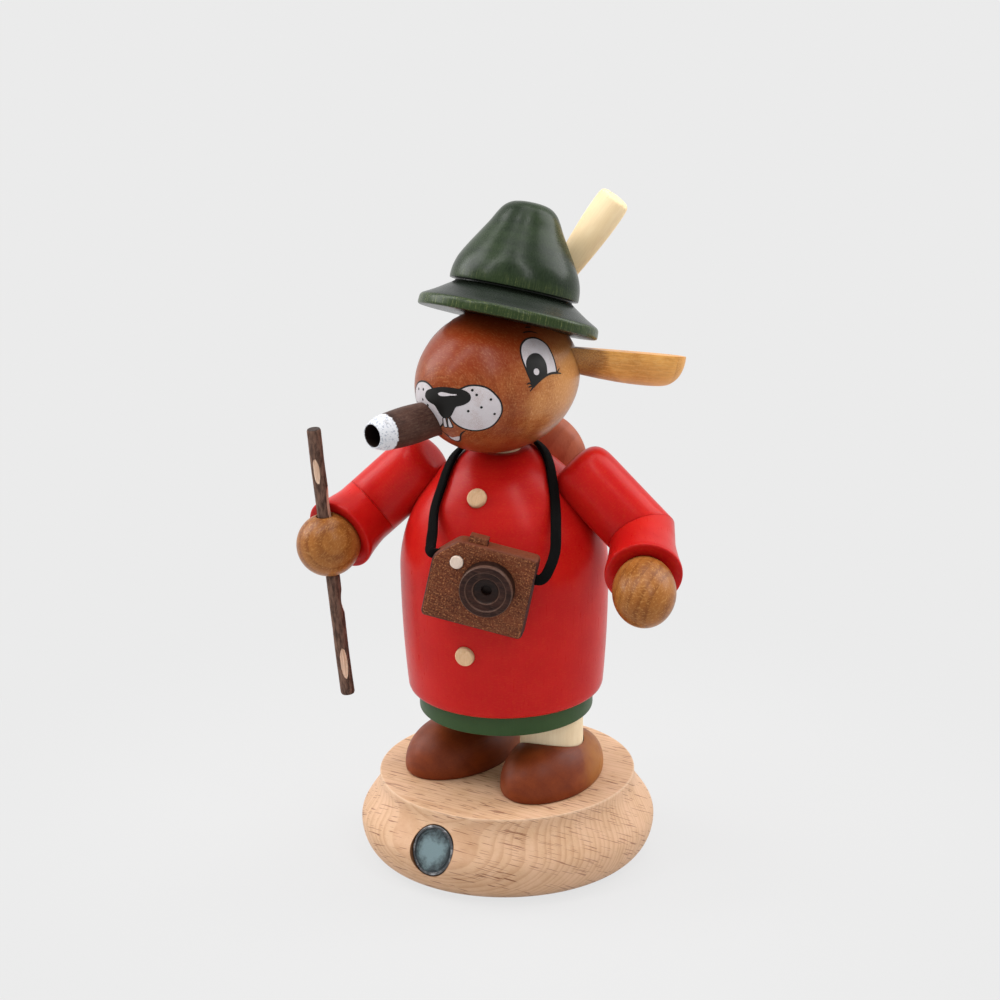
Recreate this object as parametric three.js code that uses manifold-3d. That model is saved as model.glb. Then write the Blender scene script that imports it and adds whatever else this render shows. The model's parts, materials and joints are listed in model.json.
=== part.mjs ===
// A turned wooden hare that smokes a cigar: an incense cone burns inside its hollow coat.
// Millimetres, +Z up, the origin under the middle of the base, the figure's front along -Y.
import * as THREE from 'three';
import { mergeVertices } from 'three/addons/utils/BufferGeometryUtils.js';
import Module from 'manifold-3d';

const wasm = await Module();
wasm.setup();
const { Manifold, Mesh } = wasm;

// Fits
const GLUE_GAP = 0.3; // between glued pieces
const SPIGOT_CLEARANCE = 0.35; // round the spigot, so that the coat lifts off freely
const STICK_CLEARANCE = 0.45; // round the stick in the hand
const CUT_PAST = 1; // how far a hole's cutting shape runs past the face it opens in

// Base
const BASE_R = 34.1;
const BASE_H = 19.6;
const BASE_TOP_R = 29.6;
const BASE_FOOT_R = 27.9;
const BADGE_W = 10.6;
const BADGE_H = 11.3;
const BADGE_T = 1.1;
const BADGE_POCKET = 3.3;
const BADGE_TILT = 20;

// Shoes and legs
const SHOE_X = 12.9;
const SHOE_Y = -2;
const SHOE_HALF_W = 10;
const SHOE_HALF_L = 14.7;
const SHOE_H = 11.2;
const LEG_R = 7.3;
const LEG_X = 11.6;
const LEG_Y = 1;
const LEG_IN_BASE = 6;
const LEG_IN_HEM = 3.2;

// Hem disc, plate and nail
const HEM_Z = 35.9;
const HEM_R = 20;
const HEM_T = 5.2;
const SPIGOT_R = 16.8;
const SPIGOT_H = 5;
const PLATE_R = 12.5;
const PLATE_T = 0.7;
const PLATE_RIM_IN = 1.2;
const PLATE_RIM_H = 1.8;
const NAIL_R = 0.9;
const NAIL_HEAD_R = 2.2;
const NAIL_L = 8;

// Coat
const COAT_TURN = 13.3;
const COAT_R = 23.75;
const COAT_HEM_R = 22.3;
const COAT_H = 57.2;
const COAT_BELLY = 29.2; // height of the widest place above the coat's lower edge
const COAT_DOME = 29.3; // height of the full dome over it
const COAT_FULLNESS = 1.85;
const COAT_WALL = 6.8;
const CHAMBER_H = 43;
const CHAMBER_MOUTH = 0.6; // how far the chamber's mouth reaches above the spigot
const CHAMBER_STEP = 1.4; // over which the mouth narrows to the chamber
const SMOKE_R = 2.5;
const BUTTON_R = 2.2;
const UPPER_BUTTON_TURN = -3;
const LOWER_BUTTON_TURN = -3.8;
const BUTTON_L = 3.6;
const BUTTON_PROUD = 0.9;
const UPPER_BUTTON_UP = 50.2;
const LOWER_BUTTON_UP = 15.3;

// Arms, hands and stick
const RIGHT_SHOULDER_UP = 50.2;
const LEFT_SHOULDER_UP = 50.9;
const SHOULDER_X = 21.2;
const ARM_R = 7.4;
const RIGHT_SHOULDER_END = 5.7;
const LEFT_SHOULDER_END = 6.8;
const SHOULDER_ROUNDING = 0.6; // smaller is blunter
const RIGHT_UPPER_ARM_L = 14.8;
const LEFT_UPPER_ARM_L = 16.1;
const UPPER_ARM_LEAN = 46;
const RIGHT_FOREARM_L = 12.5;
const LEFT_FOREARM_L = 15;
const RIGHT_SPLAY = 19.6;
const LEFT_SPLAY = 18;
const FOREARM_DROP = 17;
const CUFF_R = 8.7;
const CUFF_RIM = 1.4;
const CUFF_DISH = 3.5;
const RIGHT_HAND_R = 7.3;
const LEFT_HAND_R = 7.1;
const LEFT_HAND_L = 18.4;
const LEFT_HAND_IN = 3.4;
const RIGHT_HAND_IN = 3.4;
const HAND_TENON_R = 3;
const HAND_TENON_L = 4;
const DOWEL_R = 2.5;
const DOWEL_DROP = 2; // below the shoulder's height
const DOWEL_WALL = 2.2; // wood between the neck tube and a shoulder dowel
const DOWEL_IN_ARM = 4.5;
const STICK_R = 1.6;
const STICK_L = 64.6;
const STICK_BELOW_HAND = 36.8;
const STICK_LEAN = 5.1;
const STICK_FORWARD_LEAN = 1.5;

// Rucksack
const RUCKSACK_R = 11.9;
const RUCKSACK_DEPTH = 14;
const RUCKSACK_H = 27;
const RUCKSACK_UP = 31;

// Head, ears and cigar
const HEAD_TURN = -15;
const HEAD_HALF_L = 22.6;
const HEAD_R = 16.34;
const HEAD_PITCH = 3.3;
const HEAD_FORWARD = 1.55;
const NECK_GAP = 1.22;
const NECK_TUBE_R = 4.1;
const NECK_TUBE_L = 13;
const NECK_IN_COAT = 7;
const EAR_L = 26;
const EAR_R = 7.3;
const LEFT_EAR_BACK = 45;
const RIGHT_EAR_BACK = 57;
const EAR_DROOP = 9;
const EAR_ROLL = 14;
const EAR_X = 10.4;
const EAR_Y = 14.9;
const EAR_Z = 5;
const EAR_DOWEL_R = 1.6;
const EAR_DOWEL_L = 11;
const CIGAR_L = 16.5;
const CIGAR_R = 4.05;
const CIGAR_BULGE = 0.3;
const CIGAR_NOSE_L = 4.3;
const CIGAR_NOSE_R = 2.8;
const CIGAR_BORE_R = 2.45;
const CIGAR_BORE_L = 8;
const CIGAR_DRAW_R = 1.5;
const CIGAR_TENON_R = 2.8;
const CIGAR_TENON_L = 5;
const CIGAR_YAW = -12.5;
const CIGAR_PITCH = 0.8;
const MOUTH_X = -5.2;
const MOUTH_Y = -20;
const MOUTH_Z = -4.9;

// Hat and feather
const HAT_TILT = 23;
const HAT_UP = 13.15;
const HAT_FORWARD = 1.1;
const BRIM_R = 20.5;
const BRIM_T = 2.4;
const CROWN_R = 14.7;
const CROWN_FOOT = 7.3;
const HAT_GROOVE = 0.9;
const HAT_GROOVE_H = 1.2;
const HAT_H = 27.2;
const FEATHER_L = 25.6;
const FEATHER_HALF_W = 4.2;
const FEATHER_HALF_T = 2.55;
const FEATHER_AZIMUTH = 171.5;
const FEATHER_LEAN = 27;
const FEATHER_UP = 2.7;
const FEATHER_IN = 1.8; // how far inside the crown's surface the feather's lower end stands

// Hanging camera
const CAMERA_AZIMUTH = 8.7;
const CAMERA_SIDE = -0.6;
const CAMERA_UP = 34.1;
const CAMERA_ROLL = -12.5;
const CAMERA_W = 23.2;
const CAMERA_H = 19.5;
const CAMERA_T = 4.6;
const CAMERA_CHAMFER = 5;
const CAMERA_CORNER = 1.3;
const CAMERA_EDGE = 0.8;
const LENS_X = 1.95;
const LENS_Z = 0.9;
const LENS_R = 6.1;
const LENS_L = 3.6;
const LENS_TENON_R = 3.5;
const LENS_TENON_L = 2;
const LENS_HOLE_R = 1.2;
const LENS_HOLLOW = 1.5;
const LENS_HOLE_L = 3;
const FLASH_X = -6;
const FLASH_Z = 4.75;
const FLASH_R = 1.5;
const FLASH_PROUD = 0.5;
const SHUTTER_X = -2.4;
const SHUTTER_W = 4.2;
const SHUTTER_D = 2.4;
const SHUTTER_PROUD = 1.5;
const SHUTTER_IN = 0.8;

// Strap: stations on the coat are [degrees round it, height above its lower edge, lift off its surface],
// stations at the camera are [outward from its side, behind its slot, above its slot].
const STRAP_W = 2.4;
const STRAP_T = 1.1;
const STRAP_IN = 2;
const STRAP_UP = 4.6;
const STRAP_RIGHT_FREE = [
  [0.7, 0, 0],
  [1.3, 2.2, 0.6],
  [1.9, 5.4, 2],
];
const STRAP_ON_COAT = [
  [-34.1, 46.7, 0.2],
  [-40.8, 50.6, 0],
  [-52, 53.2, 0],
  [-73, 55.1, 0],
  [-110, 56.2, 0],
  [-145, 56.3, 0],
  [180, 56.3, 0],
  [145, 56.3, 0],
  [119, 56.2, 0],
  [98, 55.5, 0],
  [80.5, 54.1, 0],
  [68, 51.9, 0],
  [60, 48.7, 0],
];
const STRAP_LEFT_FREE = [
  [1.6, 7.3, 8.6],
  [2.5, 4.5, 5.6],
  [2.4, 1.9, 2.8],
  [1.8, 0.4, 0.8],
  [0.9, 0, 0],
];

const FINE = 36;
const MEDIUM = 22;
const SMALL = 12;
const HEAD_SEGMENTS = 30;

const COAT_Z = HEM_Z + HEM_T;
const COAT_TOP = COAT_Z + COAT_H;
const rad = THREE.MathUtils.degToRad;

// A closed mesh with shared points, no empty triangles and its faces outward.
function closed(geometry) {
  const bare = geometry.clone();
  bare.deleteAttribute('normal');
  bare.deleteAttribute('uv');
  const merged = mergeVertices(bare, 1e-4);
  const points = merged.getAttribute('position');
  const index = Array.from(merged.index.array);
  const a = new THREE.Vector3();
  const b = new THREE.Vector3();
  const c = new THREE.Vector3();
  const triangles = [];
  let volume = 0;
  for (let i = 0; i < index.length; i += 3) {
    const [p, q, r] = index.slice(i, i + 3);
    if (p === q || q === r || r === p) continue;
    triangles.push([p, q, r]);
    a.fromBufferAttribute(points, p);
    b.fromBufferAttribute(points, q);
    c.fromBufferAttribute(points, r);
    volume += a.dot(b.cross(c));
  }
  const facing = volume < 0 ? triangles.map(([p, q, r]) => [p, r, q]) : triangles;
  const result = new THREE.BufferGeometry();
  result.setAttribute('position', points);
  result.setIndex(facing.flat());
  return result;
}

function solid(geometry) {
  const shape = closed(geometry);
  return new Manifold(new Mesh({
    numProp: 3,
    vertProperties: new Float32Array(shape.getAttribute('position').array),
    triVerts: new Uint32Array(shape.index.array),
  }));
}

function geometryOf(shape) {
  const mesh = shape.getMesh();
  const result = new THREE.BufferGeometry();
  result.setAttribute('position', new THREE.BufferAttribute(mesh.vertProperties, 3));
  result.setIndex(Array.from(mesh.triVerts));
  return result;
}

// A solid turned about Z from [radius, height] pairs.
function turned(profile, segments) {
  const points = profile.map(([r, z]) => new THREE.Vector2(r, z));
  return new THREE.LatheGeometry(points, segments).rotateX(Math.PI / 2);
}

function rod(r, z0, z1, segments = SMALL) {
  return turned([[0, z0], [r, z0], [r, z1], [0, z1]], segments);
}

function block(w, d, h) {
  return new THREE.BoxGeometry(w, d, h);
}

function moved(geometry, matrix) {
  return geometry.applyMatrix4(matrix);
}

function shift(x, y, z) {
  return new THREE.Matrix4().makeTranslation(x, y, z);
}

// The frame whose Z axis runs along a direction from a point.
function along(from, direction) {
  const turn = new THREE.Quaternion().setFromUnitVectors(new THREE.Vector3(0, 0, 1), direction);
  return new THREE.Matrix4().compose(from, turn, new THREE.Vector3(1, 1, 1));
}

function ellipsoid(x, y, z, segments) {
  const ball = new THREE.SphereGeometry(1, segments, Math.round(segments * 0.6));
  return ball.rotateX(Math.PI / 2).scale(x, y, z);
}

function piece(name, geometry, color, roughness, metalness = 0) {
  const material = new THREE.MeshStandardMaterial({ color, roughness, metalness });
  const shape = closed(geometry);
  shape.computeVertexNormals();
  const mesh = new THREE.Mesh(shape, material);
  mesh.name = name;
  return mesh;
}

const BEECH = 0xd9b48c;
const PALE = 0xe6d5ae;
const BROWN = 0x7a3f22;
const RED = 0xc4261d;
const GREEN = 0x3f5f38;
const HAT_GREEN = 0x2c3a26;
const WALNUT = 0x5a3324;
const BLACK = 0x141212;

const figure = new THREE.Group();
const upper = new THREE.Group();
const headGroup = new THREE.Group();
figure.add(upper);
upper.add(headGroup);

// Base: a low bulge that draws in, through a slight hollow, to the top's sharp edge
function baseProfile() {
  const bulge = BASE_H * 0.42;
  const neck = BASE_H * 0.93;
  const edge = 0.2;
  const profile = [[0, 0], [BASE_FOOT_R, 0]];
  for (let i = 1; i <= 6; i++) {
    const angle = i / 6 * Math.PI / 2;
    const r = BASE_FOOT_R + (BASE_R - BASE_FOOT_R) * Math.sin(angle);
    profile.push([r, bulge * (1 - Math.cos(angle))]);
  }
  for (let i = 1; i <= 8; i++) {
    const r = BASE_TOP_R + (BASE_R - BASE_TOP_R) * (1 + Math.cos(i / 8 * Math.PI)) / 2;
    profile.push([r, bulge + (neck - bulge) * i / 8]);
  }
  profile.push([BASE_TOP_R, BASE_H - edge], [BASE_TOP_R - edge, BASE_H], [0, BASE_H]);
  return profile;
}

// The badge's frame: its back is a flat floor cut in the bulge, and it faces the front, a little upward
const badgeUp = BASE_H * 0.546;
const badgeTilt = rad(BADGE_TILT);
const badgeR = BASE_R - BADGE_POCKET;
const badgeFrame = new THREE.Matrix4().makeRotationX(Math.PI / 2 - badgeTilt);
badgeFrame.setPosition(0, -badgeR, badgeUp);

function oval(w, h, z0, z1) {
  return moved(rod(0.5, z0, z1, MEDIUM).scale(w, h, 1), badgeFrame);
}

const legs = [-1, 1].map((side) => ({
  name: side < 0 ? 'right' : 'left',
  x: side * LEG_X,
  shoeX: side * SHOE_X,
}));
const legBottom = BASE_H - LEG_IN_BASE;
const legTop = HEM_Z + LEG_IN_HEM;

let base = solid(turned(baseProfile(), FINE));
base = base.subtract(solid(oval(BADGE_W + 2 * GLUE_GAP, BADGE_H + 2 * GLUE_GAP, 0, BADGE_POCKET * 3)));
for (const leg of legs) {
  const hole = rod(LEG_R + GLUE_GAP, legBottom - GLUE_GAP, BASE_H + 1, MEDIUM);
  base = base.subtract(solid(moved(hole, shift(leg.x, LEG_Y, 0))));
}
figure.add(piece('base', geometryOf(base), BEECH, 0.5));

const badgeTop = GLUE_GAP + BADGE_T;
const badge = turned([
  [0, GLUE_GAP], [0.5, GLUE_GAP], [0.5, badgeTop - 0.2], [0.47, badgeTop], [0.41, badgeTop],
  [0.4, badgeTop - 0.25], [0, badgeTop - 0.25],
], MEDIUM);
figure.add(piece('badge', moved(badge.scale(BADGE_W, BADGE_H, 1), badgeFrame), 0x6f7f8c, 0.35, 0.8));

// Shoes: full domes with a slightly drawn-in sole
function shoe(x) {
  const rings = 9;
  const profile = [[0, 0], [0.93, 0], [0.99, 0.13], [1, 0.22]];
  for (let i = 1; i <= rings; i++) {
    const angle = i / rings * Math.PI / 2;
    profile.push([Math.cos(angle) ** 0.85, 0.22 + 0.78 * Math.sin(angle) ** 0.92]);
  }
  profile[profile.length - 1][0] = 0;
  const dome = turned(profile, MEDIUM).scale(SHOE_HALF_W, SHOE_HALF_L, SHOE_H);
  return moved(dome, shift(x, SHOE_Y, BASE_H));
}
for (const leg of legs) {
  const hole = moved(rod(LEG_R + GLUE_GAP, BASE_H - 1, HEM_Z, MEDIUM), shift(leg.x, LEG_Y, 0));
  const body = solid(shoe(leg.shoeX)).subtract(solid(hole));
  figure.add(piece(`${leg.name}_shoe`, geometryOf(body), BROWN, 0.35));
  const dowel = moved(rod(LEG_R, legBottom, legTop, MEDIUM), shift(leg.x, LEG_Y, 0));
  figure.add(piece(`${leg.name}_leg`, dowel, PALE, 0.6));
}

// Hem disc with its spigot, the plate and the nail
const spigotTop = COAT_Z + SPIGOT_H;
const nailBottom = spigotTop + GLUE_GAP + PLATE_T + GLUE_GAP - NAIL_L;
let hem = solid(turned([
  [0, HEM_Z], [HEM_R - 0.4, HEM_Z], [HEM_R, HEM_Z + 0.4], [HEM_R, COAT_Z - 0.3], [HEM_R - 0.3, COAT_Z],
  [SPIGOT_R, COAT_Z], [SPIGOT_R, spigotTop - 0.6], [SPIGOT_R - 0.6, spigotTop], [0, spigotTop],
], FINE));
for (const leg of legs) {
  const socket = rod(LEG_R + GLUE_GAP, HEM_Z - 1, legTop + GLUE_GAP, MEDIUM);
  hem = hem.subtract(solid(moved(socket, shift(leg.x, LEG_Y, 0))));
}
hem = hem.subtract(solid(rod(NAIL_R + GLUE_GAP, nailBottom - GLUE_GAP, spigotTop + 1)));
figure.add(piece('hem_disc', geometryOf(hem), GREEN, 0.4));

const plateZ = spigotTop + GLUE_GAP;
const plate = turned([
  [NAIL_R + GLUE_GAP, plateZ], [PLATE_R - PLATE_RIM_IN, plateZ], [PLATE_R, plateZ + PLATE_RIM_H],
  [PLATE_R - PLATE_T, plateZ + PLATE_RIM_H], [PLATE_R - PLATE_RIM_IN - PLATE_T * 0.7, plateZ + PLATE_T],
  [NAIL_R + GLUE_GAP, plateZ + PLATE_T], [NAIL_R + GLUE_GAP, plateZ],
], MEDIUM);
figure.add(piece('incense_plate', plate, 0xb9b4a6, 0.35, 0.9));

const nailZ = plateZ + PLATE_T + GLUE_GAP;
const nail = turned([
  [0, nailBottom], [NAIL_R, nailBottom + 1.2], [NAIL_R, nailZ], [NAIL_HEAD_R, nailZ],
  [NAIL_HEAD_R * 0.8, nailZ + 0.5], [0, nailZ + 0.9],
], SMALL);
figure.add(piece('plate_nail', nail, 0xc9a24a, 0.3, 0.9));

// Coat
upper.rotation.z = rad(COAT_TURN);

// The coat's outer radius at a height above its lower edge
function coatRadius(up) {
  if (up <= COAT_BELLY) {
    const below = (COAT_BELLY - up) / COAT_BELLY;
    return COAT_R - (COAT_R - COAT_HEM_R) * below ** 2;
  }
  const part = Math.min((up - COAT_BELLY) / COAT_DOME, 0.9999);
  return COAT_R * (1 - part ** COAT_FULLNESS) ** (1 / COAT_FULLNESS);
}

// How far the coat's surface leans from upright there, in radians
function coatSlope(up) {
  const step = 0.05;
  return Math.atan2(coatRadius(up - step) - coatRadius(up + step), 2 * step);
}

function coatOutline(grow) {
  const profile = [
    [0, COAT_Z - grow],
    [COAT_HEM_R - 1.2, COAT_Z - grow],
    [COAT_HEM_R - 0.3 + grow, COAT_Z + 0.6],
  ];
  const levels = 17;
  for (let i = 1; i <= levels; i++) {
    const up = COAT_H * Math.sin(i / levels * Math.PI / 2);
    const lean = coatSlope(Math.min(up, COAT_H - 0.1));
    profile.push([coatRadius(up) + grow * Math.cos(lean), COAT_Z + up + grow * Math.sin(lean)]);
  }
  profile.push([0, COAT_TOP + grow]);
  return profile;
}

function coatSolid(grow) {
  return solid(turned(coatOutline(grow), FINE));
}

const chamberR = COAT_R - COAT_WALL;
const mouthR = SPIGOT_R + SPIGOT_CLEARANCE;
const mouthTop = spigotTop + CHAMBER_MOUTH;
const chamberTop = COAT_Z + CHAMBER_H;
const neckSocket = COAT_TOP - NECK_IN_COAT;
const chamber = turned([
  [0, COAT_Z - CUT_PAST], [mouthR, COAT_Z - CUT_PAST], [mouthR, mouthTop],
  [chamberR, mouthTop + CHAMBER_STEP],
  [chamberR, chamberTop - chamberR * 0.8], [chamberR * 0.72, chamberTop - chamberR * 0.3],
  [SMOKE_R, chamberTop], [SMOKE_R, neckSocket], [NECK_TUBE_R + GLUE_GAP, neckSocket],
  [NECK_TUBE_R + GLUE_GAP, COAT_TOP + CUT_PAST], [0, COAT_TOP + CUT_PAST],
], MEDIUM);
let coat = coatSolid(0).subtract(solid(chamber));

// A button's frame: its foot inside the coat, its Z axis square to the coat's surface
function buttonFrame(up, turn) {
  const lean = coatSlope(up);
  const direction = new THREE.Vector3(0, -Math.cos(lean), Math.sin(lean));
  const foot = new THREE.Vector3(0, -coatRadius(up), COAT_Z + up);
  const square = along(foot.addScaledVector(direction, BUTTON_PROUD - BUTTON_L), direction);
  return new THREE.Matrix4().makeRotationZ(rad(turn)).multiply(square);
}
const buttons = [
  ['upper_button', UPPER_BUTTON_UP, UPPER_BUTTON_TURN],
  ['lower_button', LOWER_BUTTON_UP, LOWER_BUTTON_TURN],
];
for (const [name, up, turn] of buttons) {
  const frame = buttonFrame(up, turn);
  const hole = rod(BUTTON_R + GLUE_GAP, -GLUE_GAP, BUTTON_L + CUT_PAST);
  coat = coat.subtract(solid(moved(hole, frame)));
  const dowel = turned([
    [0, 0], [BUTTON_R, 0], [BUTTON_R, BUTTON_L - 0.4], [BUTTON_R - 0.4, BUTTON_L], [0, BUTTON_L],
  ], SMALL);
  upper.add(piece(name, moved(dowel, frame), PALE, 0.6));
}

// Arms: two mitred lengths of dowel, the forearm flared to a dished cuff that takes the hand and its tenon
function vector(yaw, pitch) {
  return new THREE.Vector3(
    Math.sin(yaw) * Math.cos(pitch), -Math.cos(yaw) * Math.cos(pitch), Math.sin(pitch));
}

const coatCutter = coatSolid(GLUE_GAP);

const rightArm = {
  name: 'right',
  side: -1,
  shoulderUp: RIGHT_SHOULDER_UP,
  shoulderEnd: RIGHT_SHOULDER_END,
  upperL: RIGHT_UPPER_ARM_L,
  forearmL: RIGHT_FOREARM_L,
  splay: RIGHT_SPLAY,
  handR: RIGHT_HAND_R,
  handHalf: RIGHT_HAND_R,
  handIn: RIGHT_HAND_IN,
};
const leftArm = {
  name: 'left',
  side: 1,
  shoulderUp: LEFT_SHOULDER_UP,
  shoulderEnd: LEFT_SHOULDER_END,
  upperL: LEFT_UPPER_ARM_L,
  forearmL: LEFT_FOREARM_L,
  splay: LEFT_SPLAY,
  handR: LEFT_HAND_R,
  handHalf: LEFT_HAND_L / 2,
  handIn: LEFT_HAND_IN,
};

// A hand, grown by a gap where it serves to cut its seat: an egg on a tenon
function handShape({ handR, handHalf }, middle, grow) {
  const tenonR = HAND_TENON_R + grow;
  const end = middle - handHalf - HAND_TENON_L - grow;
  const profile = [[0, end], [tenonR, end]];
  const start = Math.asin(tenonR / (handR + grow));
  for (let i = 0; i <= 12; i++) {
    const angle = start + (Math.PI - start) * i / 12;
    profile.push([(handR + grow) * Math.sin(angle), middle - (handHalf + grow) * Math.cos(angle)]);
  }
  profile[profile.length - 1][0] = 0;
  return turned(profile, MEDIUM);
}

// Adds an arm and gives its hand's shape and middle
function addArm(arm) {
  const { name, side, shoulderUp, shoulderEnd, upperL, forearmL, splay, handHalf, handIn } = arm;
  const shoulder = new THREE.Vector3(side * SHOULDER_X, 0, COAT_Z + shoulderUp);
  const lean = rad(UPPER_ARM_LEAN);
  const down = new THREE.Vector3(side * Math.sin(lean), 0, -Math.cos(lean));
  const elbow = shoulder.clone().addScaledVector(down, upperL);
  const forward = vector(side * rad(splay), -rad(FOREARM_DROP));
  const mitre = down.clone().add(forward).normalize();
  const cut = mitre.dot(elbow);

  const dowelUp = shoulderUp - DOWEL_DROP;
  const dowelStart = NECK_TUBE_R + GLUE_GAP + DOWEL_WALL;
  const dowelEnd = coatRadius(dowelUp) + DOWEL_IN_ARM;
  const dowelFrame = along(new THREE.Vector3(0, 0, COAT_Z + dowelUp), new THREE.Vector3(side, 0, 0));
  const dowelHole = rod(DOWEL_R + GLUE_GAP, dowelStart - GLUE_GAP, dowelEnd + GLUE_GAP);
  const hole = solid(moved(dowelHole, dowelFrame));
  coat = coat.subtract(hole);
  const dowel = rod(DOWEL_R, dowelStart, dowelEnd);
  upper.add(piece(`${name}_shoulder_dowel`, moved(dowel, dowelFrame), PALE, 0.6));

  const roundEnd = [[0, -shoulderEnd]];
  for (let i = 1; i <= 7; i++) {
    const angle = i / 7 * Math.PI / 2;
    const r = ARM_R * Math.sin(angle) ** SHOULDER_ROUNDING;
    roundEnd.push([r, -shoulderEnd * Math.max(Math.cos(angle), 0) ** SHOULDER_ROUNDING]);
  }
  roundEnd.push([ARM_R, upperL + 2 * ARM_R], [0, upperL + 2 * ARM_R]);
  const upperArm = solid(moved(turned(roundEnd, MEDIUM), along(shoulder, down)))
    .trimByPlane(mitre.clone().negate().toArray(), GLUE_GAP / 2 - cut)
    .subtract(coatCutter)
    .subtract(hole);
  upper.add(piece(`${name}_upper_arm`, geometryOf(upperArm), RED, 0.4));

  const sleeve = turned([
    [0, -2 * ARM_R], [ARM_R, -2 * ARM_R], [ARM_R, forearmL * 0.35],
    [ARM_R + (CUFF_R - ARM_R) * 0.6, forearmL * 0.7], [CUFF_R, forearmL - 0.8],
    [CUFF_R - 0.25, forearmL - 0.2], [CUFF_R - 0.7, forearmL], [CUFF_R - CUFF_RIM, forearmL - 0.2],
    [0, forearmL - CUFF_DISH],
  ], MEDIUM);
  const middle = forearmL - handIn + handHalf;
  const forearmFrame = along(elbow, forward);
  const forearm = solid(moved(sleeve, forearmFrame))
    .trimByPlane(mitre.toArray(), cut + GLUE_GAP / 2)
    .subtract(solid(moved(handShape(arm, middle, GLUE_GAP), forearmFrame)));
  upper.add(piece(`${name}_forearm`, geometryOf(forearm), RED, 0.4));

  return {
    shape: moved(handShape(arm, middle, 0), forearmFrame),
    middle: elbow.clone().addScaledVector(forward, middle),
  };
}

upper.add(piece('left_hand', addArm(leftArm).shape, BROWN, 0.4));
const rightHand = addArm(rightArm);

// Walking stick, through the right hand
const stickLean = Math.tan(rad(STICK_LEAN));
const stickUp = new THREE.Vector3(-stickLean, -Math.tan(rad(STICK_FORWARD_LEAN)), 1).normalize();
const stickFrame = along(rightHand.middle, stickUp);
const stickHole = rod(STICK_R + STICK_CLEARANCE, -2 * RIGHT_HAND_R, 2 * RIGHT_HAND_R);
const boredHand = solid(rightHand.shape).subtract(solid(moved(stickHole, stickFrame)));
upper.add(piece('right_hand', geometryOf(boredHand), BROWN, 0.4));
const stickTop = STICK_L - STICK_BELOW_HAND;
const stick = turned([
  [0, -STICK_BELOW_HAND], [STICK_R - 0.3, -STICK_BELOW_HAND], [STICK_R, 0.3 - STICK_BELOW_HAND],
  [STICK_R, stickTop - 0.3], [STICK_R - 0.3, stickTop], [0, stickTop],
], SMALL);
upper.add(piece('walking_stick', moved(stick, stickFrame), 0x5b4a42, 0.8));

upper.add(piece('coat', geometryOf(coat), RED, 0.4));

// Rucksack: an upright pill, hollowed to the coat's back
const pill = [[0, 0]];
for (let i = 1; i <= 5; i++) {
  const angle = i / 5 * Math.PI / 2;
  pill.push([RUCKSACK_R * Math.sin(angle), 0.5 * RUCKSACK_R * (1 - Math.cos(angle))]);
}
for (let i = 0; i <= 7; i++) {
  const angle = i / 7 * Math.PI / 2;
  pill.push([RUCKSACK_R * Math.cos(angle), RUCKSACK_H - RUCKSACK_R * (1 - Math.sin(angle))]);
}
pill[pill.length - 1][0] = 0;
const rucksackY = coatRadius(RUCKSACK_UP + RUCKSACK_H - RUCKSACK_R) + RUCKSACK_DEPTH * 0.45;
const rucksack = turned(pill, MEDIUM).scale(1, RUCKSACK_DEPTH / 2 / RUCKSACK_R, 1);
const carried = solid(moved(rucksack, shift(0, rucksackY, COAT_Z + RUCKSACK_UP))).subtract(coatCutter);
upper.add(piece('rucksack', geometryOf(carried), 0xb8755a, 0.5));

// Neck tube
const tubeZ = neckSocket + GLUE_GAP;
const tubeTop = tubeZ + NECK_TUBE_L;
const tube = turned([
  [SMOKE_R, tubeZ], [NECK_TUBE_R, tubeZ], [NECK_TUBE_R, tubeTop], [SMOKE_R, tubeTop], [SMOKE_R, tubeZ],
], SMALL);
upper.add(piece('neck_tube', tube, PALE, 0.6));

// Head: an egg lying along the face's direction, about its own middle
headGroup.rotation.z = rad(HEAD_TURN);
const neckPoint = COAT_TOP + NECK_GAP;
const headSink = HEAD_R * 0.95;
const headZ = neckPoint + headSink;
const headOffset = shift(0, -HEAD_FORWARD, headZ);
const nod = new THREE.Matrix4().makeRotationX(-rad(HEAD_PITCH));

function egg(grow, segments) {
  return moved(ellipsoid(HEAD_R + grow, HEAD_HALF_L + grow, HEAD_R + grow, segments), nod);
}

function addToHead(name, geometry, color, roughness) {
  headGroup.add(piece(name, moved(geometry, headOffset), color, roughness));
}

const headCutter = solid(egg(GLUE_GAP, HEAD_SEGMENTS));
const cigarWay = vector(rad(CIGAR_YAW), rad(CIGAR_PITCH));
const mouth = new THREE.Vector3(MOUTH_X, MOUTH_Y, MOUTH_Z);
const cigarFrame = along(mouth, cigarWay);
const neckTop = tubeTop - headZ + GLUE_GAP;
const drawL = Math.hypot(MOUTH_X, MOUTH_Y - HEAD_FORWARD);
let head = solid(egg(0, HEAD_SEGMENTS)).trimByPlane([0, 0, 1], -headSink);
const neckFrame = shift(0, HEAD_FORWARD, 0);
head = head
  .subtract(solid(moved(rod(NECK_TUBE_R + GLUE_GAP, -2 * HEAD_R, neckTop), neckFrame)))
  .subtract(solid(moved(rod(SMOKE_R, neckTop - 1, MOUTH_Z + SMOKE_R), neckFrame)))
  .subtract(solid(moved(rod(CIGAR_TENON_R + GLUE_GAP, -CIGAR_TENON_L - GLUE_GAP, CIGAR_R), cigarFrame)))
  .subtract(solid(moved(rod(CIGAR_DRAW_R, -drawL, 0), cigarFrame)));

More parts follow.
